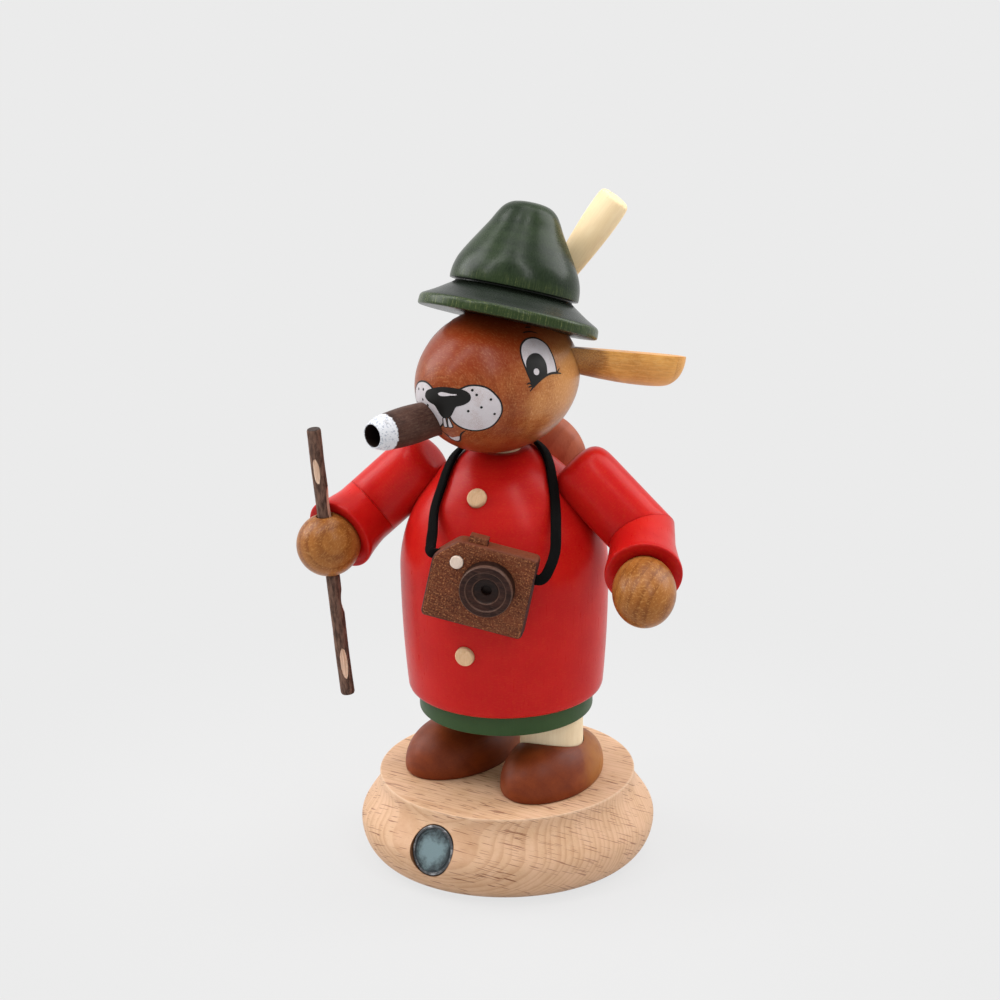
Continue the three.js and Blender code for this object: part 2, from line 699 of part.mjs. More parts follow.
// Cigar: a barrel with a wide bore at its end, a narrow draw hole and a tenon in the mouth
const bellied = [];
for (let i = 0; i <= 6; i++) {
  const part = i / 6;
  bellied.push([CIGAR_R + CIGAR_BULGE * Math.sin(Math.PI * part), (CIGAR_L - CIGAR_NOSE_L) * part]);
}
const nose = [0.4, 0.7, 0.9, 1].map((part) => [
  CIGAR_R - (CIGAR_R - CIGAR_NOSE_R) * part ** 1.8, CIGAR_L - CIGAR_NOSE_L * (1 - part),
]);
const barrel = solid(moved(turned([
  [CIGAR_DRAW_R, -CIGAR_R], [CIGAR_R, -CIGAR_R], ...bellied, ...nose,
  [CIGAR_BORE_R, CIGAR_L - 0.2], [CIGAR_BORE_R, CIGAR_L - CIGAR_BORE_L],
  [CIGAR_DRAW_R, CIGAR_L - CIGAR_BORE_L - 1], [CIGAR_DRAW_R, -CIGAR_R],
], MEDIUM), cigarFrame));
const tenon = solid(moved(turned([
  [CIGAR_DRAW_R, -CIGAR_TENON_L], [CIGAR_TENON_R, -CIGAR_TENON_L], [CIGAR_TENON_R, CIGAR_R],
  [CIGAR_DRAW_R, CIGAR_R], [CIGAR_DRAW_R, -CIGAR_TENON_L],
], MEDIUM), cigarFrame));
const cigar = barrel.subtract(headCutter).add(tenon);
addToHead('cigar', geometryOf(cigar), 0x4a2418, 0.4);

// Ears: split turnings with the flat side up, each on a dowel.
// Their outline is in shares of their radius and length.
const earOutline = [
  [0, -0.23], [0.74, -0.23], [0.8, 0.02], [0.9, 0.25], [0.97, 0.45], [1, 0.62], [0.985, 0.74], [0.9, 0.845],
  [0.7, 0.93], [0.4, 0.982], [0, 1],
];

function addEar(name, side, back) {
  const profile = earOutline.map(([r, up]) => [EAR_R * r, EAR_L * up]);
  const root = new THREE.Vector3(side * EAR_X, EAR_Y, EAR_Z);
  const way = vector(side * rad(90 + back), -rad(EAR_DROOP));
  const top = new THREE.Vector3(0, 0, 1).projectOnPlane(way).normalize()
    .applyAxisAngle(way, -side * rad(EAR_ROLL));
  const pin = along(root.clone().addScaledVector(top, -EAR_R * 0.4), way);
  const half = EAR_DOWEL_L / 2;
  const hole = solid(moved(rod(EAR_DOWEL_R + GLUE_GAP, -half - GLUE_GAP, half + GLUE_GAP), pin));
  const ear = solid(moved(turned(profile, MEDIUM), along(root, way)))
    .trimByPlane(top.clone().negate().toArray(), -top.dot(root))
    .subtract(headCutter)
    .subtract(hole);
  head = head.subtract(hole);
  addToHead(`${name}_ear`, geometryOf(ear), BROWN, 0.4);
  addToHead(`${name}_ear_dowel`, moved(rod(EAR_DOWEL_R, -half, half), pin), PALE, 0.6);
}
addEar('left', 1, LEFT_EAR_BACK);
addEar('right', -1, RIGHT_EAR_BACK);
addToHead('head', geometryOf(head), BROWN, 0.35);

// Hat: turned on its own axis, tipped back and hollowed to the head
const hatWay = new THREE.Vector3(0, Math.sin(rad(HAT_TILT)), Math.cos(rad(HAT_TILT)));
const hatMiddle = new THREE.Vector3(0, -HAT_FORWARD, 0).addScaledVector(hatWay, HAT_UP);
const hatFrame = along(hatMiddle, hatWay);
const crownRise = HAT_H - CROWN_FOOT;

// The crown's outline, as shares of its radius and of its rise
const crown = [
  [1, 0], [1, 0.06], [0.985, 0.14], [0.94, 0.25], [0.84, 0.39], [0.69, 0.57], [0.565, 0.72], [0.485, 0.83],
  [0.41, 0.91], [0.31, 0.965], [0.18, 0.992], [0, 1],
];
const hatProfile = [
  [0, 0], [BRIM_R - 0.5, 0], [BRIM_R - 0.1, 0.35], [BRIM_R, 0.8], [BRIM_R - 0.2, BRIM_T],
  [BRIM_R - (BRIM_R - CROWN_R) * 0.55, BRIM_T + (CROWN_FOOT - BRIM_T) * 0.34],
  [CROWN_R - HAT_GROOVE, CROWN_FOOT - HAT_GROOVE_H], [CROWN_R - HAT_GROOVE, CROWN_FOOT - 0.1],
  ...crown.map(([r, up]) => [r * CROWN_R, CROWN_FOOT + up * crownRise]),
];

// Feather: a flattened paddle, its lower end in the crown
const featherTurn = rad(FEATHER_AZIMUTH);
const featherR = CROWN_R - FEATHER_IN;
const featherFoot = new THREE.Vector3(
  Math.sin(featherTurn) * featherR, -Math.cos(featherTurn) * featherR, CROWN_FOOT + FEATHER_UP);
const featherWay = new THREE.Vector3(Math.sin(rad(FEATHER_LEAN)), 0, Math.cos(rad(FEATHER_LEAN)));

// Its outline, from the foot up, as shares of its half width and length
const featherOutline = [
  [0, 0], [0.62, 0], [0.78, 0.25], [0.92, 0.5], [1, 0.72], [1, 0.9], [0.96, 0.955], [0.85, 0.98],
  [0.5, 0.995], [0, 1],
];

function feather(grow) {
  const profile = featherOutline.map(([r, up]) => [r, up * (FEATHER_L + 2 * grow) - grow]);
  const shape = turned(profile, SMALL).scale(FEATHER_HALF_W + grow, FEATHER_HALF_T + grow, 1);
  return moved(moved(shape, along(featherFoot, featherWay)), hatFrame);
}
const hat = solid(moved(turned(hatProfile, FINE), hatFrame))
  .subtract(headCutter)
  .subtract(solid(feather(GLUE_GAP)));
addToHead('hat', geometryOf(hat), HAT_GREEN, 0.45);
addToHead('feather', feather(0), PALE, 0.6);

// Hanging camera: its own frame has the front along -Y and its back just clear of the coat
const cameraFront = COAT_R + GLUE_GAP + CAMERA_T;
const cameraFrame = new THREE.Matrix4().makeRotationZ(rad(CAMERA_AZIMUTH))
  .multiply(shift(CAMERA_SIDE, -cameraFront, COAT_Z + CAMERA_UP))
  .multiply(new THREE.Matrix4().makeRotationY(-rad(CAMERA_ROLL)));
const toFront = new THREE.Matrix4().makeRotationX(Math.PI / 2);

function cameraOutline() {
  const w = CAMERA_W / 2;
  const h = CAMERA_H / 2;
  const corners = [
    [-w, -h], [w, -h], [w, h], [CAMERA_CHAMFER - w, h], [-w, h - CAMERA_CHAMFER],
  ];
  const shape = new THREE.Shape();
  const near = (here, [x, y]) => new THREE.Vector2(x, y).sub(here).setLength(CAMERA_CORNER).add(here);
  corners.forEach((corner, i) => {
    const here = new THREE.Vector2(...corner);
    const before = near(here, corners.at(i - 1));
    const after = near(here, corners[(i + 1) % corners.length]);
    if (i === 0) shape.moveTo(before.x, before.y);
    else shape.lineTo(before.x, before.y);
    shape.quadraticCurveTo(here.x, here.y, after.x, after.y);
  });
  return shape;
}

function addToCamera(name, geometry, color, roughness) {
  upper.add(piece(name, moved(geometry, cameraFrame), color, roughness));
}

const slotW = STRAP_W + 2 * GLUE_GAP;
const slotT = STRAP_T + 2 * GLUE_GAP;
const board = new THREE.ExtrudeGeometry(cameraOutline(), {
  depth: CAMERA_T - 2 * CAMERA_EDGE,
  bevelThickness: CAMERA_EDGE,
  bevelSize: CAMERA_EDGE,
  bevelOffset: -CAMERA_EDGE,
  bevelSegments: 2,
  curveSegments: 4,
});
let cameraBody = solid(moved(board.translate(0, 0, CAMERA_EDGE - CAMERA_T), toFront));
const lensPlace = shift(LENS_X, 0, LENS_Z).multiply(toFront);
const flashPlace = shift(FLASH_X, 0, FLASH_Z).multiply(toFront);
cameraBody = cameraBody
  .subtract(solid(moved(rod(LENS_TENON_R + GLUE_GAP, -LENS_TENON_L - GLUE_GAP, CUT_PAST), lensPlace)))
  .subtract(solid(moved(rod(FLASH_R + GLUE_GAP, -LENS_TENON_L - GLUE_GAP, CUT_PAST), flashPlace)));
for (const side of [-1, 1]) {
  const slot = block(2 * (STRAP_IN + GLUE_GAP), slotT, slotW);
  cameraBody = cameraBody.subtract(solid(moved(slot, shift(side * CAMERA_W / 2, CAMERA_T / 2, STRAP_UP))));
}
const mortiseH = 2 * (SHUTTER_IN + GLUE_GAP);
const mortise = block(SHUTTER_W + 2 * GLUE_GAP, SHUTTER_D + 2 * GLUE_GAP, mortiseH);
cameraBody = cameraBody.subtract(solid(moved(mortise, shift(SHUTTER_X, CAMERA_T / 2, CAMERA_H / 2))));
addToCamera('camera_body', geometryOf(cameraBody), WALNUT, 0.5);

const lens = turned([
  [0, -LENS_TENON_L], [LENS_TENON_R, -LENS_TENON_L], [LENS_TENON_R, GLUE_GAP], [LENS_R, GLUE_GAP],
  [LENS_R - 0.2, LENS_L - 0.4], [LENS_R - 0.6, LENS_L], [LENS_R * 0.77, LENS_L],
  [LENS_R * 0.72, LENS_L - 0.4], [LENS_R * 0.5, LENS_L - 0.5], [LENS_R * 0.44, LENS_L - 1.1],
  [LENS_HOLE_R, LENS_L - LENS_HOLLOW], [LENS_HOLE_R, LENS_L - LENS_HOLE_L], [0, LENS_L - LENS_HOLE_L],
], MEDIUM);
addToCamera('camera_lens', moved(lens, lensPlace), 0x4a2a1e, 0.45);
const flash = turned([
  [0, -LENS_TENON_L], [FLASH_R, -LENS_TENON_L], [FLASH_R, FLASH_PROUD - 0.2], [FLASH_R - 0.2, FLASH_PROUD],
  [0, FLASH_PROUD],
], SMALL);
addToCamera('camera_flash', moved(flash, flashPlace), PALE, 0.6);
const shutter = block(SHUTTER_W, SHUTTER_D, SHUTTER_PROUD + SHUTTER_IN);
const shutterZ = CAMERA_H / 2 + (SHUTTER_PROUD - SHUTTER_IN) / 2;
addToCamera('camera_shutter', moved(shutter, shift(SHUTTER_X, CAMERA_T / 2, shutterZ)), WALNUT, 0.5);

// Strap: a flat lace that leaves one side of the camera, goes round the neck and comes back
const away = GLUE_GAP + STRAP_T / 2;

function coatStation([degrees, up, lift]) {
  const height = Math.min(up, COAT_H - 0.2);
  const lean = coatSlope(height);
  const out = vector(rad(degrees), lean);
  const at = vector(rad(degrees), 0).multiplyScalar(coatRadius(height));
  at.z = COAT_Z + height;
  at.addScaledVector(out, away + lift);
  return { at, out };
}

function cameraStation(side, [outward, behind, above]) {
  const at = new THREE.Vector3(side * (CAMERA_W / 2 + outward), CAMERA_T / 2 + behind, STRAP_UP + above)
    .applyMatrix4(cameraFrame);
  const out = new THREE.Vector3(0, -1, 0).transformDirection(cameraFrame);
  return { at, out };
}

const slotEnd = [-STRAP_IN, 0, 0];
const stations = [
  cameraStation(-1, slotEnd),
  ...STRAP_RIGHT_FREE.map((place) => cameraStation(-1, place)),
  ...STRAP_ON_COAT.map(coatStation),
  ...STRAP_LEFT_FREE.map((place) => cameraStation(1, place)),
  cameraStation(1, slotEnd),
];

function ribbon(places, width, thickness, steps) {
  const route = new THREE.CatmullRomCurve3(places.map((place) => place.at), false, 'centripetal');
  const section = [
    [-0.5, -0.3], [-0.35, -0.5], [0.35, -0.5], [0.5, -0.3],
    [0.5, 0.3], [0.35, 0.5], [-0.35, 0.5], [-0.5, 0.3],
  ];
  const points = [];
  const index = [];
  const count = section.length;
  for (let i = 0; i <= steps; i++) {
    const t = i / steps;
    const place = t * (places.length - 1);
    const from = Math.min(Math.floor(place), places.length - 2);
    const out = places[from].out.clone().lerp(places[from + 1].out, place - from);
    const tangent = route.getTangent(t);
    out.projectOnPlane(tangent).normalize();
    const across = new THREE.Vector3().crossVectors(out, tangent);
    const middle = route.getPoint(t);
    for (const [u, v] of section) {
      const corner = middle.clone().addScaledVector(across, u * width).addScaledVector(out, v * thickness);
      points.push(...corner.toArray());
    }
  }
  for (let i = 0; i < steps; i++) {
    for (let k = 0; k < count; k++) {
      const a = i * count + k;
      const b = i * count + (k + 1) % count;
      index.push(a, b, a + count, b, b + count, a + count);
    }
  }
  const last = steps * count;
  for (let k = 1; k < count - 1; k++) {
    index.push(0, k + 1, k, last, last + k, last + k + 1);
  }
  const result = new THREE.BufferGeometry();
  result.setAttribute('position', new THREE.Float32BufferAttribute(points, 3));
  result.setIndex(index);
  return result;
}
upper.add(piece('camera_strap', ribbon(stations, STRAP_W, STRAP_T, 60), BLACK, 0.9));

export default figure;
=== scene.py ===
import json
import math

import bmesh
import bpy
from mathutils import Matrix, Vector, noise


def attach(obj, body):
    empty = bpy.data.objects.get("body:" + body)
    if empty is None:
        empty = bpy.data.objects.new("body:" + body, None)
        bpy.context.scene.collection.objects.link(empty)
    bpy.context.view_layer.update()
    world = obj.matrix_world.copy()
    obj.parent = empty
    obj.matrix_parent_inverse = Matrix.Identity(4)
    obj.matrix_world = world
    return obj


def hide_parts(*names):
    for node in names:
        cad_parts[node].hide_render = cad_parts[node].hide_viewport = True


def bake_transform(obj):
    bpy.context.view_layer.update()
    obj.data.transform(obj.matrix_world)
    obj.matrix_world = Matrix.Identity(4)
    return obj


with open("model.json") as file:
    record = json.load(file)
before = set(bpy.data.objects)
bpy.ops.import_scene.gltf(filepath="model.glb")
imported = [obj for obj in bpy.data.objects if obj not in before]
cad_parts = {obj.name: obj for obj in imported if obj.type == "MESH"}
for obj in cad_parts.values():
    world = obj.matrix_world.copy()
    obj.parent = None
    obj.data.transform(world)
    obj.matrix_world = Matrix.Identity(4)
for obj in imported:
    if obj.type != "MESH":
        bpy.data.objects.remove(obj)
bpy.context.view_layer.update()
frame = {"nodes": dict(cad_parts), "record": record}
scene = bpy.context.scene

# Sizes are in millimetres and angles in degrees; shapes are scaled to metres when they are placed.
MM = 0.001
HAIRLINE = 0.08  # between glued pieces
PEG_ROOM = 0.1  # round small pegs and the cigar

BASE_R = 34.1
BASE_H = 19.6
BASE_TOP_R = 29.6
BASE_FOOT_R = 27.9
BADGE_W = 10.6
BADGE_H = 11.3
BADGE_T = 1.1
BADGE_POCKET = 3.3
BADGE_TILT = 20
BADGE_UP = 0.546 * BASE_H
BADGE_TOP = BADGE_T + 0.3
SHOE_X = 12.9
SHOE_Y = -2
SHOE_HALF_W = 10
SHOE_HALF_L = 14.7
SHOE_H = 11.2
SHOE_WIDEST = 0.13  # share of the height
SHOE_ROOM = 0.22  # round the leg
SHOE_HEEL = 1.25
SHOE_HEEL_TAPER = 0.12
SHOE_TURNS = {"right": -12, "left": 0}
SHOE_SHIFTS = {"right": 1, "left": 0}
LEG_R = 7.3
LEG_X = 11.6
LEG_Y = 1
LEG_IN_BASE = 6
LEG_IN_HEM = 3.2
HEM_Z = 35.9
HEM_R = 20
HEM_T = 5.2
SPIGOT_R = 16.8
SPIGOT_H = 5
PLATE_R = 12.5
PLATE_T = 0.7
PLATE_RIM_H = 1.8
PLATE_RIM_IN = 1.2
PLATE_DIP = 0.72  # thickness round the nail, as a share
NAIL_R = 0.9
NAIL_HEAD_R = 2.2
NAIL_L = 8

COAT_TURN = 13.3
COAT_R = 23.75
COAT_HEM_R = 22.3
COAT_H = 57.2
COAT_BELLY = 29.2
COAT_DOME = 29.3
COAT_FULLNESS = 1.85
COAT_WALL = 6.8
CHAMBER_H = 43
SMOKE_R = 2.5
COAT_MOUTH_R = 17.15
COAT_EDGE = [(0.75, 0), (0.45, 0.06), (0.15, 0.3)]  # in from the lower edge and above it
BUTTON_R = 2.2
BUTTON_L = 3.6
BUTTON_PROUD = 0.9
# Height above the coat's lower edge and turn from its front
BUTTONS = {"upper_button": (50.2, -3), "lower_button": (15.3, -3.8)}

SHOULDER_X = 21.2
ARM_R = 7.4
SHOULDER_ROUNDING = 0.6
MITRE_GAP = 0.04  # each side of the elbow's joint
UPPER_ARM_LEAN = 46
FOREARM_DROP = 17
CUFF_R = 8.7
CUFF_RIM = 1.4
CUFF_DISH = 1.6
HAND_TENON_R = 3
HAND_TENON_L = 4
DOWEL_HOLE_R = 2.8
DOWEL_DROP = 2
DOWEL_OFF_NECK = 2.2
DOWEL_IN_ARM = 4.8
ARMS = {
    "right": {
        "side": -1, "up": 50.2, "end": 5.7, "upper": 14.8, "fore": 12.5, "splay": 19.6,
        "hand_r": 7.3, "hand_half": 7.3, "in": 3.4,
    },
    "left": {
        "side": 1, "up": 50.9, "end": 6.8, "upper": 16.1, "fore": 15, "splay": 18,
        "hand_r": 7.1, "hand_half": 9.2, "in": 3.4,
    },
}
STICK_R = 1.6
STICK_HOLE_R = 2.05
STICK_HOLE_HALF = 15
STICK_L = 64.6
STICK_BELOW_HAND = 36.8
STICK_TOP = STICK_L - STICK_BELOW_HAND
STICK_SWAY = 0.2
STICK_SWELL = 0.025
STICK_RIDGES = 0.05
STICK_GRIT = 0.025
STICK_END_EASE = 0.18
STICK_LEAN = 5.1
STICK_FORWARD_LEAN = 1.5
RUCKSACK_R = 11.9
RUCKSACK_DEPTH = 14
RUCKSACK_H = 27
RUCKSACK_UP = 31
RUCKSACK_OFF_COAT = 0.45  # share of its depth
RUCKSACK_FOOT = 0.5  # roundness of its lower end

HEAD_TURN = -15
HEAD_HALF_L = 22.6
HEAD_R = 16.34
HEAD_PITCH = 3.3
HEAD_FORWARD = 1.55
HEAD_SINK = 0.95 * HEAD_R
NECK_GAP = 1.22
NECK_TUBE_R = 4.1
NECK_TUBE_L = 13
NECK_IN_COAT = 7
EAR_L = 26
EAR_R = 7.3
EAR_BACK = {"left": 45, "right": 57}
EAR_DROOP = 9
EAR_ROLL = 14
EAR_PIN_R = 1.9
EAR_PIN_IN = 5.8
EAR_PIN_DOWN = 0.4  # share of the ear's radius
EAR_ROOT = Vector((10.4, 14.9, 5))
CIGAR_L = 16.5
CIGAR_R = 4.05
CIGAR_BULGE = 0.3
CIGAR_NOSE_L = 4.3
CIGAR_NOSE_R = 2.8
PAINT_START = 12.3
CIGAR_BORE_R = 2.45
CIGAR_BORE_L = 8
CIGAR_DRAW_R = 1.5
CIGAR_YAW = -12.5
CIGAR_PITCH = 0.8
MOUTH = Vector((-5.2, -20, -4.9))
HAT_TILT = 23
HAT_UP = 13.15
HAT_FORWARD = 1.1
BRIM_R = 20.5
BRIM_T = 2.4
CROWN_R = 14.7
CROWN_FOOT = 7.3
HAT_GROOVE = 0.9
HAT_GROOVE_H = 1.2
HAT_H = 27.2
FEATHER_L = 25.6
FEATHER_HALF_W = 4.2
FEATHER_HALF_T = 2.55
FEATHER_AZIMUTH = 171.5
FEATHER_LEAN = 27
FEATHER_UP = 2.7
FEATHER_IN = 1.8

CAMERA_AZIMUTH = 8.7
CAMERA_SIDE = -0.6
CAMERA_UP = 34.1
CAMERA_ROLL = -12.5
CAMERA_OFF_COAT = 0.3
CAMERA_W = 23.2
CAMERA_H = 19.5
CAMERA_T = 4.6
CAMERA_CHAMFER = 5
CAMERA_CORNER = 1.3
CAMERA_EDGE = 0.8
LENS_X = 1.95
LENS_Z = 0.9
LENS_R = 6.1
LENS_L = 3.6
LENS_TENON_R = 3.5
LENS_TENON_L = 2
LENS_HOLE_R = 1.2
LENS_EDGES = (0.97, 0.75, 0.49)  # shares of its radius
FLASH_X = -6
FLASH_Z = 4.75
FLASH_R = 1.5
FLASH_PROUD = 0.5
SHUTTER_X = -2.4
SHUTTER_W = 4.2
SHUTTER_D = 2.4
SHUTTER_PROUD = 1.5
SHUTTER_IN = 0.8

STRAP_W = 2.4
STRAP_T = 1.1
STRAP_IN = 2
SLOT_ROOM = 0.15
STRAP_FLAT_W = 0.45  # the lace's section is squarer with a lower number
STRAP_FLAT_T = 0.6
STRAP_UP = 4.6
STRAP_OFF_COAT = 0.85
# On the coat: degrees round it, height above its lower edge, lift off its surface
STRAP_ON_COAT = [
    (-34.1, 46.7, 0.2), (-40.8, 50.6, 0), (-52, 53.2, 0), (-73, 55.1, 0), (-110, 56.2, 0), (-145, 56.3, 0),
    (180, 56.3, 0), (145, 56.3, 0), (119, 56.2, 0), (98, 55.5, 0), (80.5, 54.1, 0), (68, 51.9, 0),
    (60, 48.7, 0),
]
# At the camera: outward from its side, behind its slot, above its slot
STRAP_RIGHT_FREE = [(-STRAP_IN, 0, 0), (0.7, 0, 0), (1.3, 2.2, 0.6), (1.9, 5.4, 2)]
STRAP_LEFT_FREE = [
    (1.6, 7.3, 8.6), (2.5, 4.5, 5.6), (2.4, 1.9, 2.8), (1.8, 0.4, 0.8), (0.9, 0, 0), (-STRAP_IN, 0, 0),
]

COAT_Z = HEM_Z + HEM_T
COAT_TOP = COAT_Z + COAT_H
SPIGOT_TOP = COAT_Z + SPIGOT_H
HEAD_Z = COAT_TOP + NECK_GAP + HEAD_SINK

# View: the figure is seen from its left front, a little from above
VIEW_TURN = 32.3
VIEW_AZIMUTH = math.radians(VIEW_TURN)
VIEW_ELEVATION = math.radians(20.28)
VIEW_ROLL = math.radians(0.8)
VIEW_DISTANCE = 800
VIEW_AIM = Vector((0, 0, 80))
VIEW_LENS = 126.69
VIEW_SHIFT = (-0.00376, 0.02331)

view_back = Vector((
    math.sin(VIEW_AZIMUTH) * math.cos(VIEW_ELEVATION),
    -math.cos(VIEW_AZIMUTH) * math.cos(VIEW_ELEVATION),
    math.sin(VIEW_ELEVATION),
))
view_level = Vector((math.cos(VIEW_AZIMUTH), math.sin(VIEW_AZIMUTH), 0))
view_rise = view_back.cross(view_level)
view_across = view_level * math.cos(VIEW_ROLL) - view_rise * math.sin(VIEW_ROLL)
view_upward = view_level * math.sin(VIEW_ROLL) + view_rise * math.cos(VIEW_ROLL)
view_data = bpy.data.cameras.new("figure_view")
view_data.sensor_width = 36
view_data.lens = VIEW_LENS
view_data.shift_x, view_data.shift_y = VIEW_SHIFT
view_data.clip_start = 0.01
view = bpy.data.objects.new("figure_view", view_data)
view.matrix_world = Matrix.Translation((VIEW_AIM + view_back * VIEW_DISTANCE) * MM) @ (
    Matrix((view_across, view_upward, view_back)).transposed().to_4x4())
scene.collection.objects.link(view)
scene.camera = view

body_names = {
    node: body for body, nodes in frame["record"]["behaviour"]["bodies"].items() for node in nodes
}
shapes = {}


def turn(axis, degrees):
    return Matrix.Rotation(math.radians(degrees), 4, axis)


def shift(x, y, z):
    return Matrix.Translation((x, y, z))


def along(start, way):
    """The frame whose Z axis runs along a direction from a point."""
    return Matrix.Translation(start) @ Vector((0, 0, 1)).rotation_difference(way).to_matrix().to_4x4()


def direction(yaw, pitch):
    yaw = math.radians(yaw)
    pitch = math.radians(pitch)
    return Vector((
        math.sin(yaw) * math.cos(pitch), -math.cos(yaw) * math.cos(pitch), math.sin(pitch)))


def smooth_line(points, steps, closed=False):
    """A smooth line through points, with a number of steps between each two."""
    points = [Vector(p) for p in points]
    if closed:
        chain = [points[-1], *points, points[0], points[1]]
    else:
        chain = [2 * points[0] - points[1], *points, 2 * points[-1] - points[-2]]
    line = []
    for p0, p1, p2, p3 in zip(chain, chain[1:], chain[2:], chain[3:]):
        a = (p1 - p0).length ** 0.5
        b = (p2 - p1).length ** 0.5
        c = (p3 - p2).length ** 0.5
        leave = ((p1 - p0) / a - (p2 - p0) / (a + b) + (p2 - p1) / b) * b
        arrive = ((p2 - p1) / b - (p3 - p1) / (b + c) + (p3 - p2) / c) * b
        for k in range(steps):
            t = k / steps
            near = p1 * (2 * t**3 - 3 * t**2 + 1) + leave * (t**3 - 2 * t**2 + t)
            line.append(near + p2 * (3 * t**2 - 2 * t**3) + arrive * (t**3 - t**2))
    if not closed:
        line.append(points[-1])
    return line


def eased(corners, steps=5):
    """An outline through (radius, height, easing) corners, each rounded off over its easing."""
    outline = []
    for i, (x, y, ease) in enumerate(corners):
        here = Vector((x, y))
        if not ease:
            outline.append(here)
            continue
        before = Vector(corners[i - 1][:2]) - here
        after = Vector(corners[i + 1][:2]) - here
        start = here + before.normalized() * min(ease, before.length / 2)
        end = here + after.normalized() * min(ease, after.length / 2)
        for k in range(steps + 1):
            t = k / steps
            outline.append(start.lerp(here, t).lerp(here.lerp(end, t), t))
    return outline


def turned(outline, segments=96):
    """A shape turned about Z from radii and heights."""
    outline = [Vector(p[:2]) for p in outline]
    bm = bmesh.new()
    ring_shaped = (outline[0] - outline[-1]).length < 1e-6
    if ring_shaped:
        outline = outline[:-1]
    angles = [2 * math.pi * k / segments for k in range(segments)]
    rings = []
    for r, z in outline:
        if r < 1e-4:
            rings.append([bm.verts.new((0, 0, z))])
        else:
            rings.append([bm.verts.new((r * math.cos(a), r * math.sin(a), z)) for a in angles])
    pairs = list(zip(rings, rings[1:]))
    if ring_shaped:
        pairs.append((rings[-1], rings[0]))
    for low, high in pairs:
        for k in range(segments):
            n = (k + 1) % segments
            if len(low) == 1:
                bm.faces.new((low[0], high[n], high[k]))
            elif len(high) == 1:
                bm.faces.new((low[k], low[n], high[0]))
            else:
                bm.faces.new((low[k], low[n], high[n], high[k]))
    bmesh.ops.recalc_face_normals(bm, faces=bm.faces)
    return bm


def skin(bm, rings):
    """Faces between loops of points, each loop joined to the next."""
    faces = []
    for low, high in zip(rings, rings[1:]):
        for k in range(len(low)):
            n = (k + 1) % len(low)
            faces.append(bm.faces.new((low[k], low[n], high[n], high[k])))
    return faces


def quarter(steps, first=1):
    """Angles up to a right angle, in even steps."""
    return [i / steps * math.pi / 2 for i in range(first, steps + 1)]


def dowel(r, low, high, eases, steps, segments, crown=0):
    """A round peg with eased ends, whose top may be a little crowned."""
    corners = [(0, low, 0), (r, low, eases[0]), (r, high, eases[1]), (0, high + crown, 0)]
    return turned(eased(corners, steps), segments)


def rod(r, z0, z1, segments=64):
    return turned([(0, z0), (r, z0), (r, z1), (0, z1)], segments)


def scaled(bm, x, y, z):
    bmesh.ops.scale(bm, vec=(x, y, z), verts=bm.verts)
    return bm


def block(w, d, h):
    bm = bmesh.new()
    bmesh.ops.create_cube(bm, size=1)
    return scaled(bm, w, d, h)


def trimmed(bm, point, way):
    """The shape without what lies beyond a plane."""
    whole = [*bm.verts, *bm.edges, *bm.faces]
    cut = bmesh.ops.bisect_plane(bm, geom=whole, plane_co=point, plane_no=way, clear_outer=True)
    rim = [edge for edge in cut["geom_cut"] if isinstance(edge, bmesh.types.BMEdge)]
    bmesh.ops.contextual_create(bm, geom=rim)
    bmesh.ops.recalc_face_normals(bm, faces=bm.faces)
    return bm


def made(name, bm, matrix=Matrix()):
    """An object of a shape, scaled to metres and put in its place."""
    scaled(bm, MM, MM, MM)
    mesh = bpy.data.meshes.new(name)
    bm.to_mesh(mesh)
    bm.free()
    obj = bpy.data.objects.new(name, mesh)
    place = matrix.copy()
    place.translation = place.translation * MM
    obj.matrix_world = place
    scene.collection.objects.link(obj)
    return obj


def applied(obj):
    """Takes an object's modifiers into its mesh."""
    bpy.context.view_layer.update()
    whole = obj.evaluated_get(bpy.context.evaluated_depsgraph_get())
    mesh = bpy.data.meshes.new_from_object(whole)
    obj.modifiers.clear()
    obj.data = mesh


def cut(obj, *tools):
    for tool in tools:
        modifier = obj.modifiers.new("cut", "BOOLEAN")
        modifier.operation = "DIFFERENCE"
        modifier.solver = "EXACT"
        modifier.object = tool
    applied(obj)
    for tool in tools:
        bpy.data.objects.remove(tool)


def soften(obj, width, angle=40):
    """Rounds an object's sharp edges."""
    modifier = obj.modifiers.new("soften", "BEVEL")
    modifier.width = width * MM
    modifier.segments = 3
    modifier.limit_method = "ANGLE"
    modifier.angle_limit = math.radians(angle)
    applied(obj)


def shade(obj, angle=35):
    for face in obj.data.polygons:
        face.use_smooth = True
    obj.data.set_sharp_from_angle(angle=math.radians(angle))


def settle(obj, node):
    """Gives a finished shape the place of a node in the figure."""
    shade(obj)
    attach(obj, body_names[node])
    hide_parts(node)
    shapes[node] = obj


UPPER = turn("Z", COAT_TURN)
HEAD = UPPER @ turn("Z", HEAD_TURN) @ shift(0, -HEAD_FORWARD, HEAD_Z)
EGG = HEAD @ turn("X", -HEAD_PITCH)
CAMERA = (
    UPPER @ turn("Z", CAMERA_AZIMUTH)
    @ shift(CAMERA_SIDE, -(COAT_R + CAMERA_OFF_COAT + CAMERA_T), COAT_Z + CAMERA_UP)
    @ turn("Y", -CAMERA_ROLL)
)
TO_FRONT = turn("X", 90)


def coat_radius(up):
    if up <= COAT_BELLY:
        return COAT_R - (COAT_R - COAT_HEM_R) * ((COAT_BELLY - up) / COAT_BELLY) ** 2
    part = min((up - COAT_BELLY) / COAT_DOME, 0.9999)
    return COAT_R * (1 - part**COAT_FULLNESS) ** (1 / COAT_FULLNESS)


